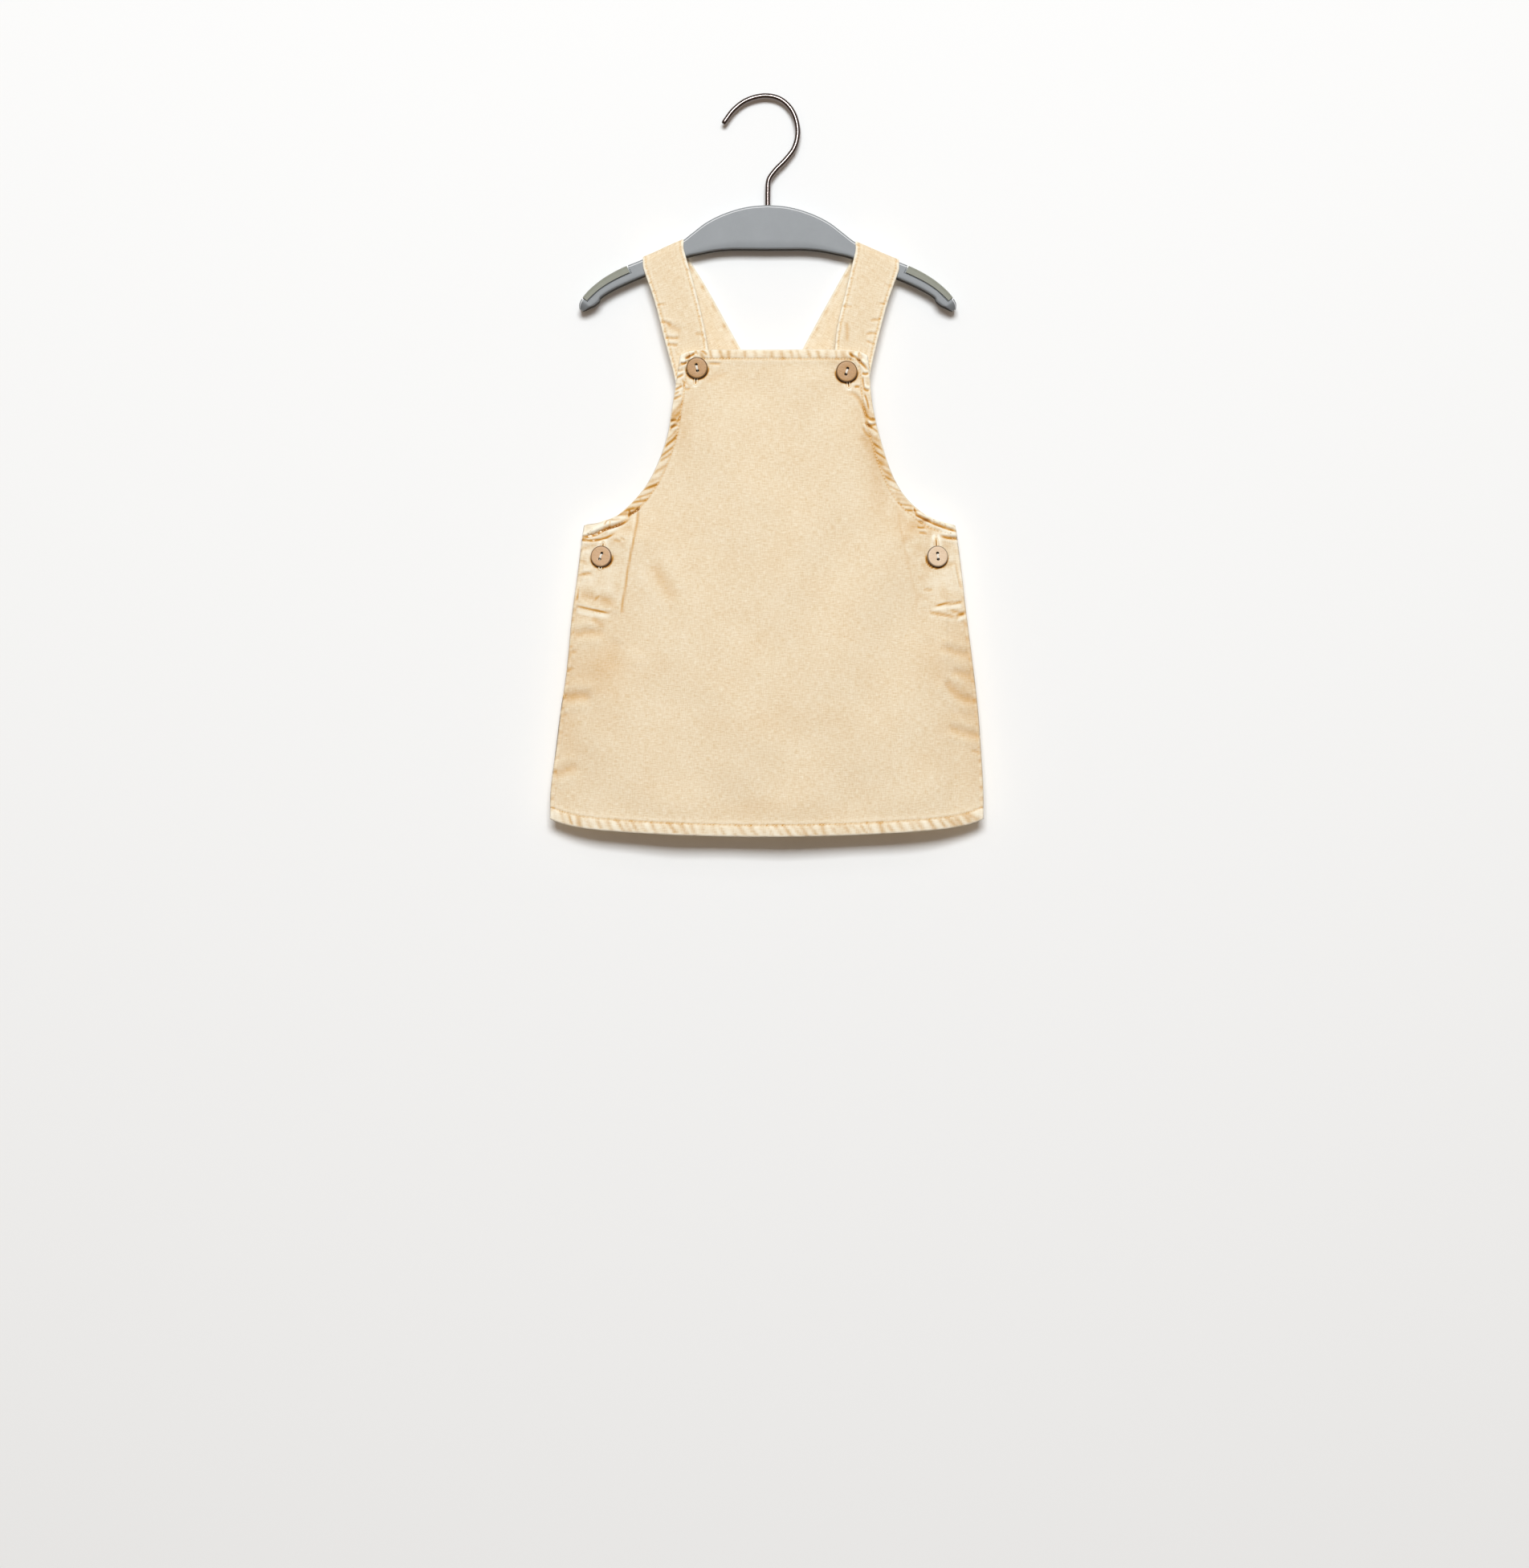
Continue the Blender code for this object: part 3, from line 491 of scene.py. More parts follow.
def smooth_curve(points: Array, count: int) -> Array:
    """Reads evenly spaced points from the smooth curve that passes through the given ones.

    Between two points the curve is a centripetal Catmull-Rom cubic, blended from the straight
    lines through its four nearest points.

    Args:
        points: Rows of coordinates, in any number of columns.
        count: How many points to return.

    Returns:
        The points, evenly spaced by length.
    """
    points = np.asarray(points, float)
    padded = np.vstack([2 * points[0] - points[1], points, 2 * points[-1] - points[-2]])
    knots = np.concatenate([[0.0], np.cumsum(np.sqrt(np.linalg.norm(np.diff(padded, axis=0), axis=1)))])
    fine = []
    for i in range(1, len(padded) - 2):
        t0, t1, t2, t3 = knots[i - 1 : i + 3]
        t = np.linspace(t1, t2, 24, endpoint=False)[:, None]
        p0, p1, p2, p3 = padded[i - 1 : i + 3]
        a1 = (t1 - t) / (t1 - t0) * p0 + (t - t0) / (t1 - t0) * p1
        a2 = (t2 - t) / (t2 - t1) * p1 + (t - t1) / (t2 - t1) * p2
        a3 = (t3 - t) / (t3 - t2) * p2 + (t - t2) / (t3 - t2) * p3
        b1 = (t2 - t) / (t2 - t0) * a1 + (t - t0) / (t2 - t0) * a2
        b2 = (t3 - t) / (t3 - t1) * a2 + (t - t1) / (t3 - t1) * a3
        fine.append((t2 - t) / (t2 - t1) * b1 + (t - t1) / (t2 - t1) * b2)
    return evenly(np.vstack([*fine, points[-1]]), count)


def lengths_along(points: Array) -> Array:
    """How far each point lies along its line of points."""
    return np.concatenate([[0.0], np.cumsum(np.linalg.norm(np.diff(points, axis=0), axis=1))])


def evenly(points: Array, count: int) -> Array:
    """The same line read at evenly spaced places."""
    along = lengths_along(points)
    return read_rows(np.linspace(0.0, along[-1], count), along, points)


def spaced(places: Array, steps: Array, stride: int = INNER_STRIDE) -> Array:
    """Positions whose step is given at some places and changes evenly between them.

    The count of positions up to a place is the sum of 1 / step, read backwards.

    Args:
        places: Where the steps are given, from the first position to the last.
        steps: The step at each place.
        stride: The number of steps is a multiple of this.

    Returns:
        The positions.
    """
    fine = np.linspace(places[0], places[-1], 4000)
    density = 1.0 / np.interp(fine, places, steps)
    count = np.concatenate([[0.0], np.cumsum((density[1:] + density[:-1]) / 2 * np.diff(fine))])
    total = max(1, round(count[-1] / stride)) * stride
    return np.interp(np.linspace(0.0, count[-1], total + 1), count, fine)


class Reading(NamedTuple):
    """Where points lie beside a line: how far off, how far along, and on which side."""

    apart: Array
    along: Array
    side: Array
    way: Array


def from_line(x: Array, z: Array, line: Array) -> Reading:
    """Reads points against the nearest stretch of a line in the plane of the cloth.

    For each stretch the foot of the point is held within the stretch, and the nearest foot
    counts. The side is 1 on the left of the line's way and -1 on its right.

    Args:
        x: Places across, one-dimensional.
        z: Places up, one-dimensional.
        line: Points (x, z) of the line.

    Returns:
        The reading, where way holds the unit direction of the nearest stretch.
    """
    start = line[:-1]
    step = np.diff(line, axis=0)
    length = np.maximum(np.linalg.norm(step, axis=1), 1e-9)
    way = step / length[:, None]
    to_x = x[:, None] - start[None, :, 0]
    to_z = z[:, None] - start[None, :, 1]
    foot = np.clip(to_x * way[:, 0] + to_z * way[:, 1], 0.0, length)
    off_x = to_x - foot * way[:, 0]
    off_z = to_z - foot * way[:, 1]
    apart = np.hypot(off_x, off_z)
    nearest = np.argmin(apart, axis=1)
    pick = (np.arange(len(x)), nearest)
    side = np.sign(way[nearest, 0] * off_z[pick] - way[nearest, 1] * off_x[pick])
    along = lengths_along(line)[nearest] + foot[pick]
    return Reading(apart[pick], along, side, way[nearest])


def soft_waves(x: Array, z: Array, seed: int, size: float, height: float) -> Array:
    """The slow unevenness of hung cloth: a sum of long sine waves that mostly run downwards.

    Args:
        x: Places across.
        z: Places up.
        seed: Chooses the waves.
        size: The shortest wave.
        height: The height of the whole.

    Returns:
        The height at each place.
    """
    draw = np.random.default_rng(seed)
    total = np.zeros_like(x)
    for _ in range(9):
        wave = size * draw.uniform(1.0, 3.2)
        tilt = draw.normal(0.0, 0.55)
        phase = draw.uniform(0.0, 2.0 * np.pi)
        total += wave * np.sin(2.0 * np.pi * (x * np.cos(tilt) + z * np.sin(tilt)) / wave + phase)
    return height * total / (size * 4.5)


@dataclass
class ClothFace:
    """One face of cloth laid flat, with the height of its creases and the worn and shaded tone of its colour.

    That tone is 0 on plain cloth and up to 1 where washing has paled a ridge. Below 0 the dye has
    stayed in a crease, with painted shade of the crease added, and from -3 on it is painted shadow,
    as where no light reaches.
    """

    x: Array
    z: Array
    height: Array = field(init=False)
    wear: Array = field(init=False)
    shift: Array = field(init=False)
    nearest_edge: Array = field(init=False)

    def __post_init__(self) -> None:
        """Starts with smooth, evenly dyed cloth."""
        self.height = np.zeros_like(self.x)
        self.wear = np.zeros_like(self.x)
        self.shift = np.zeros((*self.x.shape, 2))
        self.nearest_edge = np.full_like(self.x, 1e3)

    def around(self, line: Array, reach: float) -> Array:
        """Which points lie in the box round a line."""
        low = line.min(axis=0) - reach
        high = line.max(axis=0) + reach
        return (self.x > low[0]) & (self.x < high[0]) & (self.z > low[1]) & (self.z < high[1])

    def press(self, crease: Crease) -> None:
        """Presses a crease: a valley with a lower ridge on both sides, which runs out at its ends.

        Args:
            crease: The crease to press.
        """
        start, end = as_line(crease[:4])
        across = np.array([start[1] - end[1], end[0] - start[0]])
        across /= max(np.linalg.norm(across), 1e-9)
        share = np.linspace(0.0, 1.0, 12)[:, None]
        line = start + (end - start) * share + across * crease.bow * 4.0 * share * (1.0 - share)
        self.furrow(line, crease.width, crease.depth, crease.colour)

    def furrow(self, line: Array, width: float, depth: float, colour: float) -> None:
        """Presses a valley of the given width, depth and colour along a line.

        Args:
            line: Points (x, z).
            width: Half the valley's width.
            depth: Its depth, below 0 for a ridge.
            colour: How dark it is, from dye left in it and painted shade of the valley; below 0 where it is
                paler.
        """
        near = self.around(line, 4.0 * width)
        if not near.any():
            return
        reading = from_line(self.x[near], self.z[near], line)
        place = reading.along / lengths_along(line)[-1]
        taper = smooth_step(place / 0.2) * smooth_step((1.0 - place) / 0.25)
        valley = bell(reading.apart / width) * taper
        ridge = bell((reading.apart - 2.1 * width) / (1.1 * width)) * taper
        self.height[near] += depth * (0.55 * ridge - valley)
        self.wear[near] += colour * (0.28 * ridge - valley)

    def fade(self, patch: TonePatch) -> None:
        """Changes the colour's tone by a soft hump as wide and tall as the patch; below 0 it paints shade."""
        away = np.hypot((self.x - patch.x) / patch.wide, (self.z - patch.z) / patch.tall)
        self.wear += patch.tone * bell(away)

    def sink(self, seat: ButtonSeat) -> None:
        """Dents the cloth round a button, paints its shadow below the rim and paints shade behind its holes.

        Args:
            seat: Where the button sits.
        """
        right, up = self.x - seat.x, self.z - seat.z
        apart = np.hypot(right, up)
        self.height -= 0.6 * bell(apart / 9.0)
        # Painted shadow below the button's rim, and painted shade where the holes show the cloth.
        below = smooth_step(0.4 - 0.9 * up / np.maximum(apart, 1e-6))
        self.wear -= 4.6 * bell((apart - BUTTON_ACROSS / 2.0) / 0.9) * below
        turn = np.radians(seat.turn)
        for off in (-HOLES_APART / 2.0, HOLES_APART / 2.0):
            hole = np.hypot(right + off * np.sin(turn), up - off * np.cos(turn))
            self.wear -= 6.0 * bell(hole / 1.3)

    def double(self, placket: Placket) -> None:
        """Raises the doubled strip and draws its edge.

        The distance inside both of its lines turns into a step, and the edge line itself is a
        thin valley just outside.

        Args:
            placket: The placket.
        """
        edge, end = as_line(placket.edge), as_line(placket.end)
        near = self.around(np.vstack([edge, end]), 12.0)
        x, z = self.x[near], self.z[near]
        at_edge, at_end = from_line(x, z, edge), from_line(x, z, end)
        in_edge = at_edge.apart * at_edge.side * placket.inside
        in_end = at_end.apart * at_end.side * -placket.inside
        within = smooth_step(in_edge / 0.9 + 0.5) * smooth_step(in_end / 1.2 + 0.5)
        above = smooth_step(in_end / 6.0 + 0.5)
        line = bell((in_edge + 0.5) / 0.75) * above
        beside = bell((in_edge - 1.4) / 1.2) * above
        self.height[near] += placket.step * within - 0.4 * placket.line * line
        blotch = soft_waves(x, z, 71, 6.0, 0.06) + soft_waves(z, x, 73, 5.0, 0.08)
        self.wear[near] += (blotch - 0.05) * within - placket.line * (0.95 * line - 0.25 * beside)

    def turn(self, edge: TurnedEdge, line: Array) -> Array:
        """Turns an edge in: a puffed band, a groove under the stitches, and slanted puckers.

        The band's height is the sine over its width. Each pucker is a valley along a line that
        slants with the distance from the edge, cut off beyond the stitches.

        Args:
            edge: The turned edge.
            line: Points (x, z) of the border.

        Returns:
            The line of the stitches, as points (x, z).
        """
        near = self.around(line, 2.6 * edge.width)
        reading = from_line(self.x[near], self.z[near], line)
        apart, along = reading.apart, reading.along
        outward = np.sign(edge.border.value)
        in_band = 1.0 - smooth_step((apart - edge.width + 0.5) / 1.4)
        band = np.sin(np.pi * np.clip(apart / edge.width, 0.0, 1.0)) ** 0.7
        stitches = bell((apart - edge.width) / 0.75)
        beyond = bell((apart - edge.width - 1.9) / 1.3)
        height = edge.puff * band - edge.groove * stitches + 0.2 * edge.puff * beyond
        # The band is paler from washing. The pale line at the very edge is partly washed and partly a painted
        # highlight on the rolled edge.
        wear = edge.pale * in_band * 0.75 + 0.6 * edge.pale * bell(apart / 1.0)
        wear += soft_waves(along, apart * 1.6, edge.seed + 100, 4.0, 0.09) * in_band
        holes = np.square(0.5 + 0.5 * np.cos(2.0 * np.pi * along / STITCH_PITCH))
        wear += edge.pale * (0.25 * beyond - 0.6 * stitches)
        wear -= edge.stitched * bell((apart - edge.width) / 0.5) * holes
        pull = self.puckers(edge, apart, along, lengths_along(line)[-1])
        height -= edge.depth * pull
        wear -= edge.ochre * np.clip(pull, 0.0, 1.2)
        at_edge = bell(apart / 1.6) * edge.scallop * (0.35 - pull)
        out = np.stack([-reading.way[:, 1], reading.way[:, 0]], axis=1) * outward
        self.height[near] += height
        self.wear[near] += wear
        self.shift[near] += out * at_edge[:, None]
        self.nearest_edge[near] = np.minimum(self.nearest_edge[near], apart)
        way = unit(np.gradient(line, axis=0))
        inward = np.stack([way[:, 1], -way[:, 0]], axis=1) * outward
        return line + inward * edge.width

    def folded(self, radius: float) -> Array:
        """How far the cloth rounds away at a folded edge: a quarter circle of that radius."""
        drop = np.clip(1.0 - self.nearest_edge / radius, 0.0, 1.0)
        return -radius * (1.0 - np.sqrt(1.0 - drop**2))

    @staticmethod
    def puckers(edge: TurnedEdge, apart: Array, along: Array, length: float) -> Array:
        """How strongly the puckers of an edge pull the cloth down, from 0 to about 1.

        Args:
            edge: The turned edge.
            apart: Distances from the edge.
            along: Places along it.
            length: The border's length.

        Returns:
            The pull at each place.
        """
        draw = np.random.default_rng(edge.seed)
        first, last = edge.start * length, edge.stop * length
        pull = np.zeros_like(apart)
        place = first + draw.uniform(0.0, edge.pitch)
        while place < last:
            slant = edge.slant + draw.normal(0.0, 0.14)
            width = edge.pucker_width * draw.uniform(0.7, 1.35)
            strength = draw.uniform(0.45, 1.15)
            top = draw.uniform(0.0, 0.16) * edge.width
            bottom = edge.width * draw.uniform(0.86, 1.12)
            middle = place + slant * (apart - edge.width / 2.0)
            window = smooth_step((apart - top) / 1.2 + 0.6)
            window *= 1.0 - smooth_step((apart - bottom) / (0.3 * edge.width) + 0.5)
            pull += strength * bell((along - middle) / width) * window
            place += edge.pitch * draw.uniform(0.7, 1.3)
        return pull


def grid_faces(rows: int, columns: int, closed: bool = False) -> tuple[Array, Array]:
    """Quads of a grid of points.

    Args:
        rows: Number of rows.
        columns: Number of columns.
        closed: Whether the last column joins the first.

    Returns:
        The faces, and the same corners numbered on a grid with one more column where the grid
        is closed, for flat coordinates that don't jump back.
    """
    spread = columns + 1 if closed else columns
    row, column = np.meshgrid(np.arange(rows - 1), np.arange(spread - 1), indexing="ij")
    corners = [(row, column), (row, column + 1), (row + 1, column + 1), (row + 1, column)]
    faces = np.stack([r * columns + c % columns for r, c in corners], axis=-1).reshape(-1, 4)
    flat = np.stack([r * spread + c for r, c in corners], axis=-1).reshape(-1, 4)
    return faces, flat


def border_of(rows: int, columns: int) -> Array:
    """The numbers of a grid's border points, once round."""
    index = np.arange(rows * columns).reshape(rows, columns)
    return np.concatenate([index[0, :], index[1:, -1], index[-1, -2::-1], index[-2:0:-1, 0]])


def tube_faces(count: int, around: int, copies: int = 1) -> list[Array]:
    """The sides and the ends of closed tubes whose points follow each other.

    Args:
        count: Rings in a tube.
        around: Points in a ring.
        copies: How many tubes there are.

    Returns:
        The quads of the sides and the faces of the ends.
    """
    sides, _ = grid_faces(count, around, closed=True)
    ring = np.arange(around)
    ends = np.stack([ring[::-1], ring + (count - 1) * around])
    first = (np.arange(copies) * count * around)[:, None, None]
    return [(sides + first).reshape(-1, 4), (ends + first).reshape(-1, around)]


def link(name: str, data: object) -> Piece:
    """Puts a mesh, a camera or a light into the scene as an object."""
    made = bpy.data.objects.new(name, data)
    bpy.context.scene.collection.objects.link(made)
    return made


def add_piece(
    name: str,
    points: Array,
    faces: list[Array],
    flat: Array | None = None,
    corners: list[Array] | None = None,
    wear: Array | None = None,
    sharp: float | None = None,
) -> Piece:
    """Writes a mesh and links it as an object that rides on the root body.

    Args:
        name: The piece's name.
        points: Points in millimetres.
        faces: Arrays of faces with the same number of corners each.
        flat: Flat coordinates in millimetres.
        corners: For each array of faces, which flat coordinates its corners take. Left out, they
            are those of the points.
        wear: How worn the colour is at each point, with painted shade and highlight in it.
        sharp: The angle in degrees past which an edge stays sharp.

    Returns:
        The new object.
    """
    mesh = bpy.data.meshes.new(name)
    listed = [face for block in faces for face in block.tolist()]
    mesh.from_pydata((np.asarray(points).reshape(-1, 3) * MM).tolist(), [], listed)
    mesh.shade_smooth()
    if sharp is not None:
        mesh.set_sharp_from_angle(angle=np.radians(sharp))
    if flat is not None:
        order = np.concatenate([block.reshape(-1) for block in (corners or faces)])
        layer = mesh.uv_layers.new(name="flat")
        layer.data.foreach_set("uv", (flat.reshape(-1, 2)[order] * MM).astype(np.float32).ravel())
    if wear is not None:
        attribute = mesh.attributes.new("wear", "FLOAT", "POINT")
        attribute.data.foreach_set("value", wear.astype(np.float32).ravel())
    piece = link(name, mesh)
    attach(piece, "root")
    return piece


def outward_normals(points: Array, towards: Array) -> Array:
    """Unit normals of a grid of points: the cross product of its steps down and across.

    Args:
        points: The grid, as (row, column, xyz).
        towards: Directions that the normals are turned to.

    Returns:
        The normals.
    """
    normal = np.cross(np.gradient(points, axis=0), np.gradient(points, axis=1))
    normal /= np.maximum(np.linalg.norm(normal, axis=2, keepdims=True), 1e-12)
    facing = np.sign(np.sum(normal * towards, axis=2, keepdims=True))
    return normal * np.where(facing == 0.0, 1.0, facing)


def cloth_shell(name: str, outer: Array, inner: Array, flat: Array, wear: Array) -> Piece:
    """A closed wall of cloth: a fine outer face, a coarser inner one and a border of triangles.

    The inner face keeps every third point of the grid, and each of its border steps fans out to
    three steps of the outer border.

    Args:
        name: The piece's name.
        outer: Grid of points of the outer face.
        inner: Grid of the same size of the inner face.
        flat: Flat coordinates of the grid.
        wear: How worn the grid's colour is, with painted shade in it.

    Returns:
        The new object.
    """
    stride = INNER_STRIDE
    rows, columns = outer.shape[:2]
    fine, _ = grid_faces(rows, columns)
    few = inner[::stride, ::stride]
    coarse, _ = grid_faces(*few.shape[:2])
    under = rows * columns

    outside = border_of(rows, columns).reshape(-1, stride)
    inside = border_of(*few.shape[:2]) + under
    inside_next = np.roll(inside, -1)
    first, second, third = outside.T
    fourth = np.roll(first, -1)
    corners = [
        (first, inside, second),
        (second, inside, inside_next),
        (second, inside_next, third),
        (third, inside_next, fourth),
    ]
    faces = [fine, coarse[:, ::-1] + under, np.concatenate([np.column_stack(fan) for fan in corners])]
    facing = np.cross(outer[0, 1] - outer[0, 0], outer[1, 0] - outer[0, 0])
    if facing @ (outer[0, 0] - inner[0, 0]) < 0.0:
        faces = [block[:, ::-1] for block in faces]
    points = np.concatenate([outer.reshape(-1, 3), few.reshape(-1, 3)])
    flats = np.concatenate([flat.reshape(-1, 2), flat[::stride, ::stride].reshape(-1, 2)])
    tones = np.concatenate([wear.ravel(), wear[::stride, ::stride].ravel()])
    return add_piece(name, points, faces, flats, None, tones)


@dataclass
class Sheet:
    """One sheet of cloth, with the points and the normals of its outer face once it is built."""

    name: str
    node: str
    outer: Array = field(init=False)
    normal: Array = field(init=False)

    def finish(self, outer: Array, inner: Array, towards: Array, face: ClothFace) -> Piece:
        """Makes the sheet's mesh and keeps its outer face.

        Args:
            outer: Grid of points of the outer face.
            inner: Grid of the same size of the inner face.
            towards: The way that the outer face looks.
            face: The same grid laid flat, with its colour's worn and painted-shade tone.

        Returns:
            The sheet's object.
        """
        self.outer = outer
        self.normal = outward_normals(outer, towards)
        piece = cloth_shell(self.name, outer, inner, np.stack([face.x, face.z], axis=2), face.wear)
        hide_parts(self.node)
        return piece


@dataclass
class Panel(Sheet):
    """The front or the back, cut in one from its top edge to its hem.

    side is -1 for the front and +1 for the back, the way its outer face looks along Y.
    """

    side: float
    armhole: tuple[EdgeRow, ...]
    depths: tuple[DepthRow, ...]
    folds: tuple[Fold, ...]
    top: float
    edges: tuple[TurnedEdge, ...]
    creases: tuple[Crease, ...]
    furrows: tuple[Furrow, ...]
    fades: tuple[TonePatch, ...]
    plackets: tuple[Placket, ...]
    seats: tuple[ButtonSeat, ...]
    seed: int
    edge_points: int = 600
    half_wide: float = 150.0
    long_waves: tuple[float, float] = (26.0, 0.5)
    cross_waves: tuple[float, float] = (15.0, 0.12)
    side_fade: float = 0.08
    stitch_lines: list[Array] = field(init=False, default_factory=list)

    def side_edges(self) -> tuple[Array, Array, int]:
        """The left and right edge as fine lines of points (x, z) with the same numbering.

        Returns:
            Both lines, and the number of the point where the armhole ends.
        """
        left, right = (
            np.vstack([
                smooth_curve([(row[column], row.height) for row in part], self.edge_points)
                for part in (self.armhole, SIDE_SEAM)
            ])
            for column in (1, 2)
        )
        return left, right, self.edge_points

    def lay_out(self) -> None:
        """Works out the grid: rows run down by the left edge's length, columns across."""
        left, right, split = self.side_edges()
        along = lengths_along(left)
        arm, total = along[split], along[-1]
        rows = spaced(
            np.array([0.0, 9.0, 12.0, arm, arm + 18.0, total - 16.0, total - 10.0, total]),
            np.array([0.5, 0.62, 0.78, 0.78, 1.45, 1.45, 0.72, 0.6]),
        )
        half = self.half_wide
        columns = spaced(
            np.array([-half, -half + 9.0, -half + 30.0, half - 30.0, half - 9.0, half]),
            np.array([0.6, 0.75, 1.35, 1.35, 0.75, 0.6]),
        )
        self.across = (columns / half)[None, :]
        self.down = (rows / total)[:, None]
        number = np.arange(len(along))
        place = np.interp(rows, along, number)
        self.left = read_rows(place, number, left)
        self.right = read_rows(place, number, right)
        self.arm_rows = int(np.searchsorted(rows, arm)) + 1

    def plan(self) -> tuple[Array, Array]:
        """The grid in the plane of the cloth.

        Every row is a straight line between the edges, bowed down to the middle height by 1 less
        the square of the place across, and by a high power of it where the corners are.

        Returns:
            x and z of the grid.
        """
        share = (self.across + 1.0) / 2.0
        x = self.left[:, :1] * (1.0 - share) + self.right[:, :1] * share
        edge_height = self.left[:, 1:] * (1.0 - share) + self.right[:, 1:] * share
        middle_height = self.top + (HEM_LOW - self.top) * self.down
        corner = np.clip(1.0 - self.down / 0.12, 0.0, 1.0)
        corner = corner + HEM_CORNER_SHARE * np.clip((self.down - 0.8) / 0.2, 0.0, 1.0)
        bow = (1.0 - corner) * (1.0 - self.across**2) + corner * (1.0 - np.abs(self.across) ** ROUND_CORNER)
        return x, edge_height + (middle_height - edge_height) * bow

    def stand(self, x: Array, z: Array) -> Array:
        """How far the inner face stands off the seams' plane.

        It rises from the edge to the middle by 1 less a power of the place across, and soft folds
        are added that grow towards the hem.

        Args:
            x: Places across.
            z: Places up.

        Returns:
            The distance at each place.
        """
        heights = [-row.height for row in self.depths]
        edge_height = -(self.left[:, 1:] + self.right[:, 1:]) / 2.0
        middle = np.interp(edge_height, heights, [row.middle for row in self.depths])
        edge = np.interp(edge_height, heights, [row.edge for row in self.depths])
        power = 2.3 + 1.2 * smooth_step(self.down)
        total = np.zeros_like(x)
        for fold in self.folds:
            grown = smooth_step((fold.top - z) / (fold.top - HEM_LOW))
            total += fold.depth * bell((x - fold.centre) / fold.half_width) * grown
        folds = total * (1.0 - self.across**4)
        return edge + (middle - edge) * (1.0 - np.abs(self.across) ** power) + folds

    def thickness(self) -> Array:
        """One layer of cloth, and more along the turned edges at the top and at the hem."""
        length = abs(HEM_LOW - self.top)
        from_border = np.minimum(self.down, 1.0 - self.down) * length
        return CLOTH + TURNED_HEM * (1.0 - smooth_step(from_border / HEM_REACH - 0.6))

    def border(self, which: Border, x: Array, z: Array) -> Array:
        """One border of the grid.

        Args:
            which: Its name.
            x: Places across.
            z: Places up.

        Returns:
            Its points (x, z).
        """
        grid = np.stack([x, z], axis=2)
        split = self.arm_rows
        return {
            Border.TOP: grid[0],
            Border.HEM: grid[-1],
            Border.ARM_LEFT: grid[:split, 0],
            Border.ARM_RIGHT: grid[:split, -1],
            Border.SEAM_LEFT: grid[split - 1 :, 0],
            Border.SEAM_RIGHT: grid[split - 1 :, -1],
        }[which]

    def dress_face(self, face: ClothFace) -> None:
        """Adds the turned edges, the creases and the slow waves to the outer face.

        The waves are calmer near the edges, and the skirt's sides take painted shade where the cloth turns
        away.

        Args:
            face: The outer face, laid flat.
        """
        x, z = face.x.copy(), face.z.copy()
        for edge in self.edges:
            line = self.border(edge.border, x, z)
            stitches = face.turn(edge, line)
            if edge.stitched:
                self.stitch_lines.append(stitches)
        for placket in self.plackets:
            face.double(placket)
            self.stitch_lines.append(evenly(as_line(placket.end)[1:-1], 60) - np.array([0.0, 1.0]))
        for seat in self.seats:
            face.sink(seat)
        for patch in self.fades:
            face.fade(patch)
        for crease in self.creases:
            face.press(crease)
        for furrow in self.furrows:
            points = as_line(furrow.points)
            face.furrow(smooth_curve(points, 8 * len(points)), *furrow[1:])
        calm = 0.35 + 0.65 * smooth_step((face.nearest_edge - 6.0) / 20.0)
        face.height += soft_waves(x, z, self.seed, *self.long_waves) * calm
        face.height += soft_waves(z * 0.8, x, self.seed + 1, *self.cross_waves) * calm
        # Painted shade on the skirt's lower sides, where the cloth turns away from the light.
        sides = smooth_step((np.abs(self.across) - 0.62) / 0.3) * smooth_step((-330.0 - z) / 50.0)
        face.wear -= self.side_fade * sides * (1.0 - smooth_step((-470.0 - z) / 30.0))

    def build(self) -> Piece:
        """Makes the panel's mesh.

        Returns:
            The panel's object.
        """
        self.lay_out()
        x, z = self.plan()
        stand = self.stand(x, z)
        face = ClothFace(x, z)
        self.dress_face(face)
        base = np.stack([x, self.side * (stand + self.thickness()), z], axis=2)
        towards = np.array([0.0, self.side, 0.0])
        normal = outward_normals(base, towards)
        shift = np.insert(face.shift, 1, 0.0, axis=2)
        outer = base + normal * (face.height + face.folded(EDGE_ROUND))[..., None] + shift
        follow = 0.5 * np.clip(face.height, -0.4, 2.0) * smooth_step(face.nearest_edge / 3.0)
        inner = np.stack([x, self.side * stand, z], axis=2) + shift + normal * follow[..., None]
        return self.finish(outer, inner, towards, face)

    def seat(self, places: Array) -> tuple[Array, Array]:
        """Drops places (x, z) onto the outer face, from its nearest point and that point's tilt.

        Args:
            places: Points (x, z).

        Returns:
            The points on the cloth and the way it faces there.
        """
        grid = self.outer.reshape(-1, 3)
        normals = self.normal.reshape(-1, 3)
        found = []
        for block in np.array_split(places, max(1, len(places) // 60)):
            off_x, off_z = block[:, :1] - grid[:, 0], block[:, 1:] - grid[:, 2]
            found.append(np.argmin(off_x**2 + off_z**2, axis=1))
        found = np.concatenate(found)
        foot, normal = grid[found], normals[found]
        over = (places[:, 0] - foot[:, 0]) * normal[:, 0] + (places[:, 1] - foot[:, 2]) * normal[:, 2]
        y = foot[:, 1] - over / normal[:, 1]
        return np.stack([places[:, 0], y, places[:, 1]], axis=1), normal


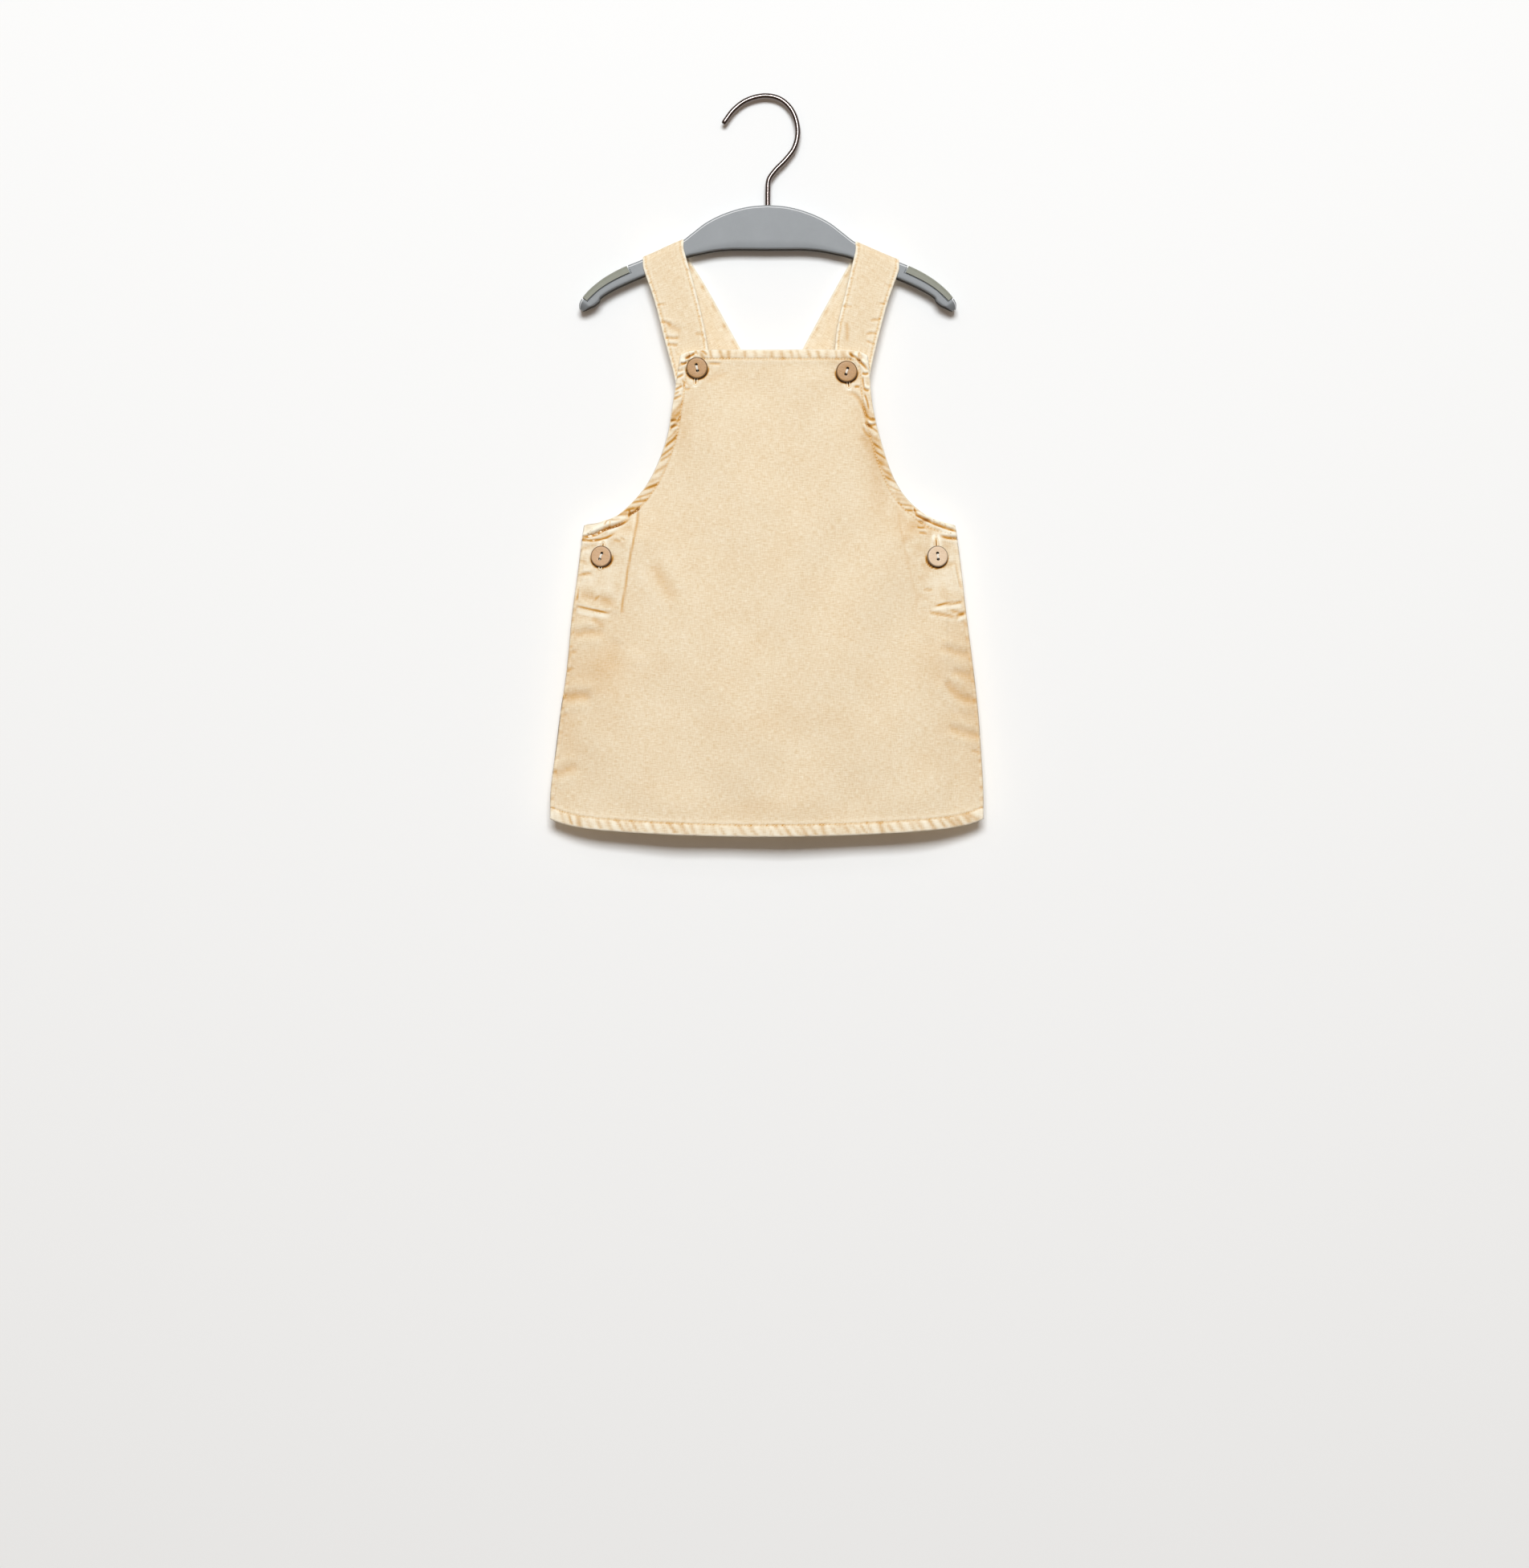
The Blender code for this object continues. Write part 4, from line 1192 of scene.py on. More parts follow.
@dataclass
class Strap(Sheet):
    """A strap from behind the bib, over the hanger's arm and down inside the back."""

    rows: dict
    creases: tuple[Crease, ...]
    seed: int
    width: float = 28.5
    seam: float = 2.0
    off_arm: float = SEAM_GAP + CLOTH / 2.0 + 0.2
    run_points: int = 110
    crest_points: int = 48
    step: float = 0.85
    across: Array = field(init=False)

    def stations(self) -> Array:
        """Both edges of the strap along its whole run.

        The runs follow smooth curves in planes just off the arm. Over the arm the strap keeps to
        the arm's rounded section: y and z are powers of the cosine and sine of the turn.

        Returns:
            Points as (station, edge, xyz).
        """
        y = ARM_HALF_THICK + self.off_arm
        edges = np.array(self.rows["on_arm"])
        sections = smooth_curve(ARM, 240)
        _, axis, half_height, slope = read_rows(np.abs(edges), sections[:, 0], sections).T
        rise = half_height / np.cos(np.radians(slope)) + self.off_arm
        turn = np.linspace(0.0, np.pi, self.crest_points)[:, None]

        def rounded(value: Array) -> Array:
            """One coordinate of the arm's rounded section."""
            return np.sign(value) * np.abs(value) ** (2.0 / ARM_SQUARENESS)

        over = (edges, -y * rounded(np.cos(turn)), axis + rise * rounded(np.sin(turn)))
        crest = np.stack(np.broadcast_arrays(*over), axis=2)

        def run(rows: tuple[StrapRow, ...], depth: float, last: Array) -> Array:
            """One hanging run up to the crest."""
            points = [(r.outer_x, depth, r.outer_z, r.inner_x, depth, r.inner_z) for r in rows]
            return smooth_curve([*points, tuple(last.ravel())], self.run_points)[:-1].reshape(-1, 2, 3)

        front = run(self.rows["front"], -y, crest[0])
        back = run(self.rows["back"], y, crest[-1])[::-1]
        path = np.concatenate([front, crest, back])
        middle = lengths_along(path.mean(axis=1))
        places = spaced(np.array([0.0, middle[-1]]), np.array([self.step, self.step]))
        even = read_rows(places, middle, path.reshape(-1, 6))
        kernel = bell(np.linspace(-1.6, 1.6, 7))
        padded = np.concatenate([np.repeat(even[:1], 3, axis=0), even, np.repeat(even[-1:], 3, axis=0)])
        soft = sum(w * padded[i : i + len(even)] for i, w in enumerate(kernel / kernel.sum()))
        soft[:3], soft[-3:] = even[:3], even[-3:]
        self.places = places
        return soft.reshape(-1, 2, 3)

    def build(self) -> Piece:
        """Makes the strap's mesh.

        Returns:
            The strap's object.
        """
        edges = self.stations()
        across = spaced(np.array([0.0, 4.0, self.width - 4.0, self.width]), np.array([0.5, 0.8, 0.8, 0.5]))
        self.across = across
        share = (across / self.width)[None, :, None]
        middle = edges[:, :1] * (1.0 - share) + edges[:, 1:] * share
        flat_x = np.broadcast_to(across[None, :], middle.shape[:2]).copy()
        flat_z = np.broadcast_to(self.places[:, None], middle.shape[:2]).copy()
        face = ClothFace(flat_x, flat_z)
        for column, border in ((0, Border.SEAM_RIGHT), (-1, Border.SEAM_LEFT)):
            edge = TurnedEdge(border, self.seam, 0.12, 6.0, 0.4, 0.8, 0.3, 0.75, 0.8, self.seed + column,
                              0.02, 0.98, 0.16, 0.2)
            face.turn(edge, np.stack([flat_x[:, column], flat_z[:, column]], axis=1))
        for crease in self.creases:
            face.press(crease)
        face.height += soft_waves(flat_x, flat_z, self.seed, 17.0, 0.16)
        towards = middle * np.array([0.0, 1.0, 0.0])
        towards[..., 2] = np.maximum(middle[..., 2] - middle[..., 2].max(axis=0) + 6.0, 0.0)
        normal = outward_normals(middle, towards)
        half = CLOTH / 2.0
        outer = middle + normal * (half + face.height + face.folded(half))[..., None]
        inner = middle - normal * (half - 0.3 * np.clip(face.height, -0.3, 1.0))[..., None]
        return self.finish(outer, inner, towards, face)

    def stitch_line(self, from_edge: float) -> tuple[Array, Array]:
        """The points and normals of a line of stitches at a distance from the first edge.

        Args:
            from_edge: The distance across the strap.

        Returns:
            Points and normals down the whole strap.
        """
        column = int(np.argmin(np.abs(self.across - from_edge)))
        return self.outer[:, column], self.normal[:, column]


@dataclass
class Stitching:
    """A line of machine stitches: short bent beads of thread that dip into the cloth."""

    pitch: float = STITCH_PITCH
    length: float = 1.6
    radius: float = 0.2
    around: int = 6
    along: int = 5

    def beads(self, line: Array, normals: Array) -> Array:
        """Shapes every stitch on a line.

        Each stitch's middle follows the line, and rises by a sine over its length. Round it
        stands a ring whose radius shrinks to both ends.

        Args:
            line: Points of the line.
            normals: The way the cloth faces at each.

        Returns:
            Points as (stitch, along, around, xyz).
        """
        places = lengths_along(line)
        count = int(places[-1] // self.pitch)
        starts = (np.arange(count) + 0.5) * places[-1] / count - self.length / 2.0
        share = np.linspace(0.0, 1.0, self.along)
        wanted = starts[:, None] + share * self.length
        centre = read_rows(wanted, places, line)
        normal = unit(read_rows(wanted, places, normals))
        beside = np.cross(unit(np.gradient(centre, axis=1)), normal)
        rise = (np.sin(np.pi * share) - 0.45) * 0.8 * self.radius
        centre = centre + normal * rise[None, :, None]
        size = self.radius * np.sqrt(np.clip(1.0 - (2.0 * share - 1.0) ** 4, 0.05, 1.0))
        turn = once_round(self.around)
        ring = beside[:, :, None] * np.cos(turn)[:, None] + normal[:, :, None] * np.sin(turn)[:, None]
        return centre[:, :, None] + ring * size[None, :, None, None]

    def sew(self, name: str, lines: list[tuple[Array, Array]]) -> Piece:
        """Makes one piece of all the stitches on some lines.

        Args:
            name: The piece's name.
            lines: Points and normals of each line.

        Returns:
            The new object.
        """
        beads = np.concatenate([self.beads(line, normals) for line, normals in lines])
        piece = add_piece(name, beads, tube_faces(self.along, self.around, len(beads)))
        fix_normals(piece)
        return piece


def fix_normals(piece: Piece, weld: float = 0.0) -> None:
    """Turns every face of closed shells outwards.

    Args:
        piece: The piece.
        weld: Points nearer to each other than this are joined first.
    """
    shape = bmesh.new()
    shape.from_mesh(piece.data)
    if weld:
        bmesh.ops.remove_doubles(shape, verts=shape.verts, dist=weld * MM)
        bmesh.ops.dissolve_degenerate(shape, edges=shape.edges, dist=weld / 4.0 * MM)
    bmesh.ops.recalc_face_normals(shape, faces=shape.faces)
    shape.to_mesh(piece.data)
    shape.free()


def tube_points(path: Array, normals: Array, radius: Array | float, around: int) -> Array:
    """Rings of points round a path: the ring's plane is square to the path.

    Args:
        path: Points of the middle.
        normals: A direction square to the path at each point.
        radius: The tube's radius, one or one for each point.
        around: Points in a ring.

    Returns:
        Points as (ring, around, xyz).
    """
    way = unit(np.gradient(path, axis=0))
    beside = unit(np.cross(way, normals))
    up = np.cross(beside, way)
    turn = once_round(around)[:, None]
    ring = beside[:, None] * np.cos(turn) + up[:, None] * np.sin(turn)
    return path[:, None] + ring * np.broadcast_to(radius, len(path))[:, None, None]


def tube_piece(
    name: str, rings: Array, sharp: float | None = None, wear: Array | None = None
) -> Piece:
    """A closed tube with both ends filled, and flat coordinates along and round it.

    Args:
        name: The piece's name.
        rings: Its points as (ring, around, xyz).
        sharp: The angle in degrees past which an edge stays sharp.
        wear: A tone at each point that the material reads for painted highlight and wear.

    Returns:
        The new object.
    """
    count, around = rings.shape[:2]
    _, corners = grid_faces(count, around, closed=True)
    along = lengths_along(rings.mean(axis=1))
    girth = np.linalg.norm(rings[:, 1] - rings[:, 0], axis=1).max()
    flat = np.stack(np.meshgrid(along, np.arange(around + 1) * girth, indexing="ij"), axis=2)
    ends = np.arange(around)
    end_corners = np.stack([ends[::-1], ends + (count - 1) * (around + 1)])
    piece = add_piece(name, rings, tube_faces(count, around), flat, [corners, end_corners], wear, sharp)
    fix_normals(piece)
    return piece


@dataclass
class Hanger:
    """The moulded body with its soft grips, and the wire hook."""

    rings: int = 150
    channel: float = 1.6
    bevel: float = 0.9
    rim_back: float = 1.15
    bright: tuple[int, ...] = (13, 14, -13, -14)
    first_covered: int = 9
    heel: float = 1.4
    heel_start: float = 120.8
    heel_end: float = 126.0
    wire_points: int = 190
    cut_end: tuple[float, ...] = (0.72, 0.9, 0.98)

    def sections(self) -> Array:
        """Sections of the body.

        Returns:
            Rows as in ARM, from the left tip to the right one, with a pair at each end of the grips.
        """
        half = smooth_curve(ARM, self.rings)
        left = half[:0:-1] * np.array([-1.0, 1.0, 1.0, -1.0])
        found = np.vstack([left, half])
        ends = np.array([-GRIP_END, -GRIP_START, GRIP_START, GRIP_END])
        pairs = (ends[:, None] + np.array([-0.05, 0.05])).ravel()
        found = np.vstack([found, read_rows(pairs, found[:, 0], found)])
        return found[np.argsort(found[:, 0])]

    @staticmethod
    def half_thick(half_height: Array) -> Array:
        """Half the arm's thickness front to back, less where the arm is low."""
        return np.minimum(ARM_HALF_THICK, half_height + 1.6)

    def profile(self, half_height: Array) -> Array:
        """The section's outline for each half height.

        h, t and k are half the height, half the thickness and the scale of small shapes. The
        front half has an open channel underneath, a flat face, a bevel along its top, and a rim
        that stands behind the bevel. The back half mirrors it.

        Args:
            half_height: Half the height of each section.

        Returns:
            The outlines as (section, point, (y, z)).
        """
        h, t, k = half_height, self.half_thick(half_height), np.minimum(half_height / 5.0, 1.0)
        front = [
            (0.0, -h + self.channel * k),
            (-t + 2.1 * k, -h + self.channel * k),
            (-t + 1.8 * k, -h + 0.3 * k),
            (-t + 1.3 * k, -h),
            (-t + 0.5 * k, -h + 0.15 * k),
            (-t + 0.1 * k, -h + 0.6 * k),
            (-t, -h + 1.2 * k),
            (-t, -0.55 * h),
            (-t, -0.12 * h),
            (-t, -0.02 * h),
            (-t, 0.3 * h),
            (-t, h - 2.6 * k),
            (-t, h - 2.0 * k),
            (-t + 0.18 * k, h - 1.6 * k),
            (-t + self.bevel * k, h - 0.95 * k),
            (-t + self.rim_back * k, h - 1.15 * k),
            (-t + 1.3 * k, h - 0.75 * k),
            (-t + 1.35 * k, h - 0.25 * k),
            (-t + 1.7 * k, h),
            (0.0, h),
        ]
        front = np.stack([np.stack(np.broadcast_arrays(y, z), axis=-1) for y, z in front], axis=1)
        back = front[:, -2:0:-1] * np.array([-1.0, 1.0])
        return np.concatenate([front, back], axis=1)

    def ring_points(self, sections: Array, inset: float, grip_only: bool) -> Array:
        """Rings of the body in space. Covered points are drawn in by inset.

        A heel stands out below, near the tip, behind a small notch.

        Args:
            sections: The sections.
            inset: How deep the grip's recess is.
            grip_only: Whether only the recess's stretch is drawn in, or all of the sections.

        Returns:
            Points as (section, point, xyz).
        """
        x, z, half_height, slope = sections.T
        outline = self.profile(half_height)
        covered = outline[..., 1] > -0.05 * half_height[:, None]
        within = (np.abs(x) > GRIP_START) & (np.abs(x) < GRIP_END) if grip_only else np.ones_like(x, bool)
        drawn_in = covered & within[:, None]
        scale_y = np.where(drawn_in, 1.0 - inset / self.half_thick(half_height)[:, None], 1.0)
        scale_z = np.where(drawn_in, 1.0 - inset / half_height[:, None], 1.0)
        tall = outline[..., 1] * scale_z
        place = np.abs(x)
        heel = smooth_step((place - self.heel_start) / 2.4)
        heel *= 1.0 - smooth_step((place - self.heel_end) / 3.6)
        tall -= self.heel * heel[:, None] * np.clip(-outline[..., 1] / half_height[:, None], 0.0, 1.0)
        angle = np.radians(slope)[:, None]
        return np.stack(
            [x[:, None] + tall * np.sin(angle), outline[..., 0] * scale_y, z[:, None] + tall * np.cos(angle)],
            axis=2,
        )

    def build_body(self) -> Piece:
        """Makes the bowed body, bevelled along its top, with recesses for the grips.

        Returns:
            The body's object.
        """
        rings = self.ring_points(self.sections(), GRIP_DEPTH + SEAM_GAP, grip_only=True)
        worn = np.zeros(rings.shape[:2])
        # A painted highlight on the bevel along the top, front and back.
        worn[:, self.bright] = 1.0
        piece = tube_piece("body_moulding", rings, SHARP_MOULDING, worn)
        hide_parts("hanger_body")
        return piece

    def build_grip(self, side: float) -> Piece:
        """Makes the soft pad that fills one recess: the body's outline less the recess's floor.

        Args:
            side: -1 for the left arm and 1 for the right one.

        Returns:
            The pad's object.
        """
        sections = self.sections()
        clear = SEAM_GAP + 0.2
        place = side * sections[:, 0]
        rows = sections[(place > GRIP_START + clear) & (place < GRIP_END - clear)]
        outside = self.ring_points(rows, 0.0, grip_only=False)
        inside = self.ring_points(rows, GRIP_DEPTH, grip_only=False)
        reach = slice(self.first_covered, outside.shape[1] - self.first_covered + 1)
        outer, inner = outside[:, reach], inside[:, reach]
        for grid in (outer, inner):
            for edge, inward in ((0, 1), (-1, -2)):
                grid[:, edge] += clear * unit(grid[:, inward] - grid[:, edge])
        hand = "left" if side < 0 else "right"
        piece = self.pad(f"grip_pad_{hand}", outer, inner)
        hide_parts(f"grip_{hand}")
        return piece

    @staticmethod
    def pad(name: str, outer: Array, inner: Array) -> Piece:
        """A closed wall between two grids of the same size.

        Args:
            name: The piece's name.
            outer: Points of its outer face.
            inner: Points of its inner face.

        Returns:
            The new object.
        """
        rows, columns = outer.shape[:2]
        faces, _ = grid_faces(rows, columns)
        rim = border_of(rows, columns)
        under = rows * columns
        border = np.stack([rim, np.roll(rim, -1), np.roll(rim, -1) + under, rim + under], axis=-1)
        points = np.concatenate([outer.reshape(-1, 3), inner.reshape(-1, 3)])
        piece = add_piece(name, points, [faces, faces[:, ::-1] + under, border], sharp=SHARP_MOULDING)
        fix_normals(piece)
        return piece

    def build_hook(self) -> Piece:
        """Makes the bent wire: a round tube from its cut end over the crest down into the body.

        Returns:
            The wire's object.
        """
        top = ARM[0].z + ARM[0].half_height
        stem = [(0.0, z) for z in np.linspace(HOOK_ROUTE[-1][1], top - HOOK_IN_BODY, 24)[1:]]
        path = np.insert(np.vstack([smooth_curve(HOOK_ROUTE, self.wire_points), stem]), 1, 0.0, axis=1)
        radius = np.full(len(path), HOOK_WIRE / 2.0)
        radius[: len(self.cut_end)] *= self.cut_end
        normals = np.tile([0.0, -1.0, 0.0], (len(path), 1))
        piece = tube_piece("hook_wire", tube_points(path, normals, radius, 28), sharp=50.0)
        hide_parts("hanger_hook")
        return piece


@dataclass
class Button:
    """A two-hole button cut flat from wood, sewn on with white thread."""

    node: str
    turn: float
    slot: str
    across: float = BUTTON_ACROSS
    thick: float = 2.6
    hole: float = 1.9
    apart: float = HOLES_APART
    rays: int = 72
    thread: float = 0.36
    centre: Array = field(init=False)
    frame: Array = field(init=False)

    def find_place(self) -> None:
        """Reads the button's place and tilt from its CAD node: its thinnest way is its normal."""
        node = frame["nodes"][self.node]
        points = np.empty(len(node.data.vertices) * 3)
        node.data.vertices.foreach_get("co", points)
        points = points.reshape(-1, 3) / MM
        self.centre = (points.min(axis=0) + points.max(axis=0)) / 2.0
        _, _, ways = np.linalg.svd(points - points.mean(axis=0), full_matrices=False)
        normal = ways[2] if ways[2][1] < 0.0 else -ways[2]
        up = unit(np.array([0.0, 0.0, 1.0]) - normal * normal[2])
        right = np.cross(up, normal)
        turn = np.radians(self.turn)
        across = right * np.cos(turn) + up * np.sin(turn)
        self.frame = np.stack([across, np.cross(normal, across), normal])

    def placed(self, points: Array) -> Array:
        """Points from the button's own axes to the row frame."""
        return self.centre + points @ self.frame

    def build(self) -> Piece:
        """Makes the disc.

        Each half of the disc is a fan of rays from its own hole: a ray starts low on the hole's
        wall, turns over its lip and crosses the face to the half's outline. On the outline's
        round part it carries on over the rim, and the back mirrors the front.

        Returns:
            The button's object.
        """
        self.find_place()
        radius, half, hole = self.across / 2.0, self.thick / 2.0, self.hole / 2.0
        centre = np.array([0.0, self.apart / 2.0])
        flat_face = radius - 1.0
        corner = np.arctan2(centre[1], flat_face)
        over = np.linspace(-corner, np.pi + corner, self.rays)
        under = np.linspace(np.pi + corner, 2.0 * np.pi - corner, self.rays // 3)[1:-1]
        angle = np.concatenate([over, under])
        ray = np.stack([np.cos(angle), np.sin(angle)], axis=1)
        along = ray @ centre
        to_circle = -along + np.sqrt(along**2 - centre @ centre + flat_face**2)
        to_middle = np.where(ray[:, 1] < -1e-6, -centre[1] / np.minimum(ray[:, 1], -1e-6), 1e9)
        reach = np.minimum(to_circle, to_middle)
        on_rim = np.arange(len(angle)) < self.rays
        steps = [(hole, 0.0), (hole, half - 0.25), (hole + 0.08, half - 0.06), (hole + 0.28, half)]
        rings = [np.column_stack([centre + ray * r, np.full(len(ray), z)]) for r, z in steps]
        for share in (0.35, 0.7, 1.0):
            out = (hole + 0.28) + (reach - hole - 0.28) * share
            rings.append(np.column_stack([centre + ray * out[:, None], np.full(len(ray), half)]))
        outline = rings[-1][:, :2]
        way = unit(outline)
        rim = [(radius - 0.5, half - 0.1), (radius - 0.12, half - 0.5), (radius, 0.0)]
        for size, z in rim:
            spread = np.where(on_rim[:, None], way * size, outline)
            rings.append(np.column_stack([spread, np.full(len(ray), z)]))
        grid = np.array(rings)
        rows, count = grid.shape[:2]
        faces, _ = grid_faces(rows, count, closed=True)
        row, column = np.divmod(np.arange(len(faces)), count)
        straight = ~on_rim[column] | ~on_rim[(column + 1) % count]
        faces = faces[(row < rows - len(rim) - 1) | ~straight]
        quarter = grid.reshape(-1, 3)
        blocks, listed, total = [], [], 0
        for turned in (1.0, -1.0):
            for side in (1.0, -1.0):
                blocks.append(quarter * np.array([turned, turned, side]))
                listed.append(faces + total)
                total += len(quarter)
        points = np.concatenate(blocks)
        flat = points[:, :2] + self.turn
        to_hole = np.hypot(points[:, 0], np.abs(points[:, 1]) - self.apart / 2.0)
        # Painted shade on the holes' walls and round the rim.
        burnt = 1.0 - smooth_step((to_hole - hole) / 0.25)
        burnt += 0.7 * smooth_step((np.hypot(points[:, 0], points[:, 1]) - radius + 0.9) / 0.5)
        name = self.node.replace("button", "disc")
        piece = add_piece(name, self.placed(points), listed, flat, wear=burnt)
        fix_normals(piece, weld=0.02)
        piece.data.set_sharp_from_angle(angle=np.radians(50.0))
        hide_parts(self.node)
        return piece

    def build_thread(self) -> Piece:
        """Makes two strands from hole to hole: each dips into both and bows over the bar.

        Across the button a strand follows a power of the cosine of its turn, and upwards a power
        of the sine.

        Returns:
            The object of both strands.
        """
        half = self.thick / 2.0
        turn = np.linspace(0.0, np.pi, 26)
        rings = []
        for side in (-1.0, 1.0):
            y = -np.sign(np.cos(turn)) * np.abs(np.cos(turn)) ** 0.6 * (self.apart / 2.0 - 0.62)
            z = half - 1.9 + (1.9 + self.thread) * np.sin(turn) ** 0.45
            x = side * (self.thread * 0.95) * (0.75 + 0.3 * np.sin(turn)) + 0.1 * np.sin(3.0 * turn)
            path = self.placed(np.stack([x, y, z], axis=1))
            normals = np.tile(self.frame[0], (len(path), 1))
            rings.append(tube_points(path, normals, self.thread, 10))
        points = np.array(rings).reshape(-1, 3)
        # Painted shade where the strands go down into the holes.
        soiled = smooth_step((half - (points - self.centre) @ self.frame[2]) / 0.5)
        name = self.node.replace("button", "thread")
        piece = add_piece(name, points, tube_faces(len(turn), 10, 2), wear=soiled)
        fix_normals(piece)
        return piece


@dataclass
class Buttonhole:
    """A slit bound with close stitches, upright behind its button."""

    name: str
    top: Point
    bottom: Point
    gap: float = 0.7
    thread: float = 0.55
    pitch: float = 0.72

    def slit(self) -> Crease:
        """The slit itself, as a narrow deep crease that runs a little past the binding, dark with painted
        shade.
        """
        top, bottom = np.array(self.top), np.array(self.bottom)
        past = 0.14 * (top - bottom)
        return Crease(*(bottom - past), *(top + past), 0.0, 1.3, 0.6, 2.2)

    def build(self, panel: Panel) -> Piece:
        """Makes the binding: a cord round the slit, ribbed by its stitches.

        The path is the outline of a bar with round ends, and the radius swells and shrinks by a
        cosine along it.

        Args:
            panel: The panel that carries it.

        Returns:
            The binding's object.
        """
        top, bottom = np.array(self.top), np.array(self.bottom)
        way = unit(top - bottom)
        beside = np.array([way[1], -way[0]])
        reach = self.gap / 2.0 + self.thread
        turn = np.linspace(0.0, np.pi, 12)
        caps = [np.cos(turn)[:, None] * beside + np.sin(turn)[:, None] * way]
        caps.append(-caps[0])
        outline = np.concatenate([top + caps[0] * reach, bottom + caps[1] * reach])
        closed = np.vstack([outline, outline[:1]])
        count = int(lengths_along(closed)[-1] / self.pitch * 5)
        path = evenly(closed, count + 1)[:-1]
        points, normals = panel.seat(path)
        middle, _ = panel.seat(np.array([(top + bottom) / 2.0 + beside * 2.5]))
        points[:, 1] = np.minimum(points[:, 1], middle[0, 1] + 0.4)
        outwards = np.cross(unit(np.roll(points, -1, axis=0) - np.roll(points, 1, axis=0)), normals)
        size = self.thread * (1.0 + 0.22 * np.cos(2.0 * np.pi * np.arange(count) / 5.0))
        around = 8
        angle = once_round(around)[:, None]
        ring = outwards[:, None] * np.cos(angle) + 0.8 * normals[:, None] * np.sin(angle)
        rings = points[:, None] + ring * size[:, None, None]
        index = np.arange(count * around).reshape(count, around)
        nxt = np.roll(index, -1, axis=0)
        faces = np.stack([index, np.roll(index, -1, axis=1), np.roll(nxt, -1, axis=1), nxt], axis=-1)
        piece = add_piece(self.name, rings, [faces.reshape(-1, 4)])
        fix_normals(piece)
        return piece


def operator(operation: str, swapped: bool = False) -> Callable[["Value", "Value | float"], "Value"]:
    """One of Python's operators as a Math node.

    Args:
        operation: The node's operation.
        swapped: Whether the other value comes first.

    Returns:
        The method that adds the node.
    """

    def apply(value: "Value", other: "Value | float") -> "Value":
        """Adds the node."""
        return value.maths(operation, other, swapped=swapped)

    return apply


class Value:
    """A socket of numbers, used in a formula as a number is."""

    def __init__(self, bench: "Bench", socket: Socket) -> None:
        """Wraps a socket of a node tree."""
        self.bench = bench
        self.socket = socket

    def maths(self, operation: str, *others: "Value | float", clamp: bool = False,
              swapped: bool = False) -> "Value":
        """Adds a Math node.

        Args:
            operation: Its operation.
            others: The values that follow this one.
            clamp: Whether its result is kept between 0 and 1.
            swapped: Whether this value comes last.

        Returns:
            Its result.
        """
        values = (*others, self) if swapped else (self, *others)
        settings = {"operation": operation, "use_clamp": clamp}
        node = self.bench.node("ShaderNodeMath", settings, dict(enumerate(values)))
        return Value(self.bench, node.outputs[0])

    __add__ = __radd__ = operator("ADD")
    __mul__ = __rmul__ = operator("MULTIPLY")
    __sub__, __rsub__ = operator("SUBTRACT"), operator("SUBTRACT", swapped=True)

    def sine(self) -> "Value":
        """The sine of this value."""
        return self.maths("SINE")

    def power(self, exponent: float) -> "Value":
        """This value to a power."""
        return self.maths("POWER", exponent)

    def held(self) -> "Value":
        """This value kept between 0 and 1."""
        return self.maths("ADD", 0.0, clamp=True)


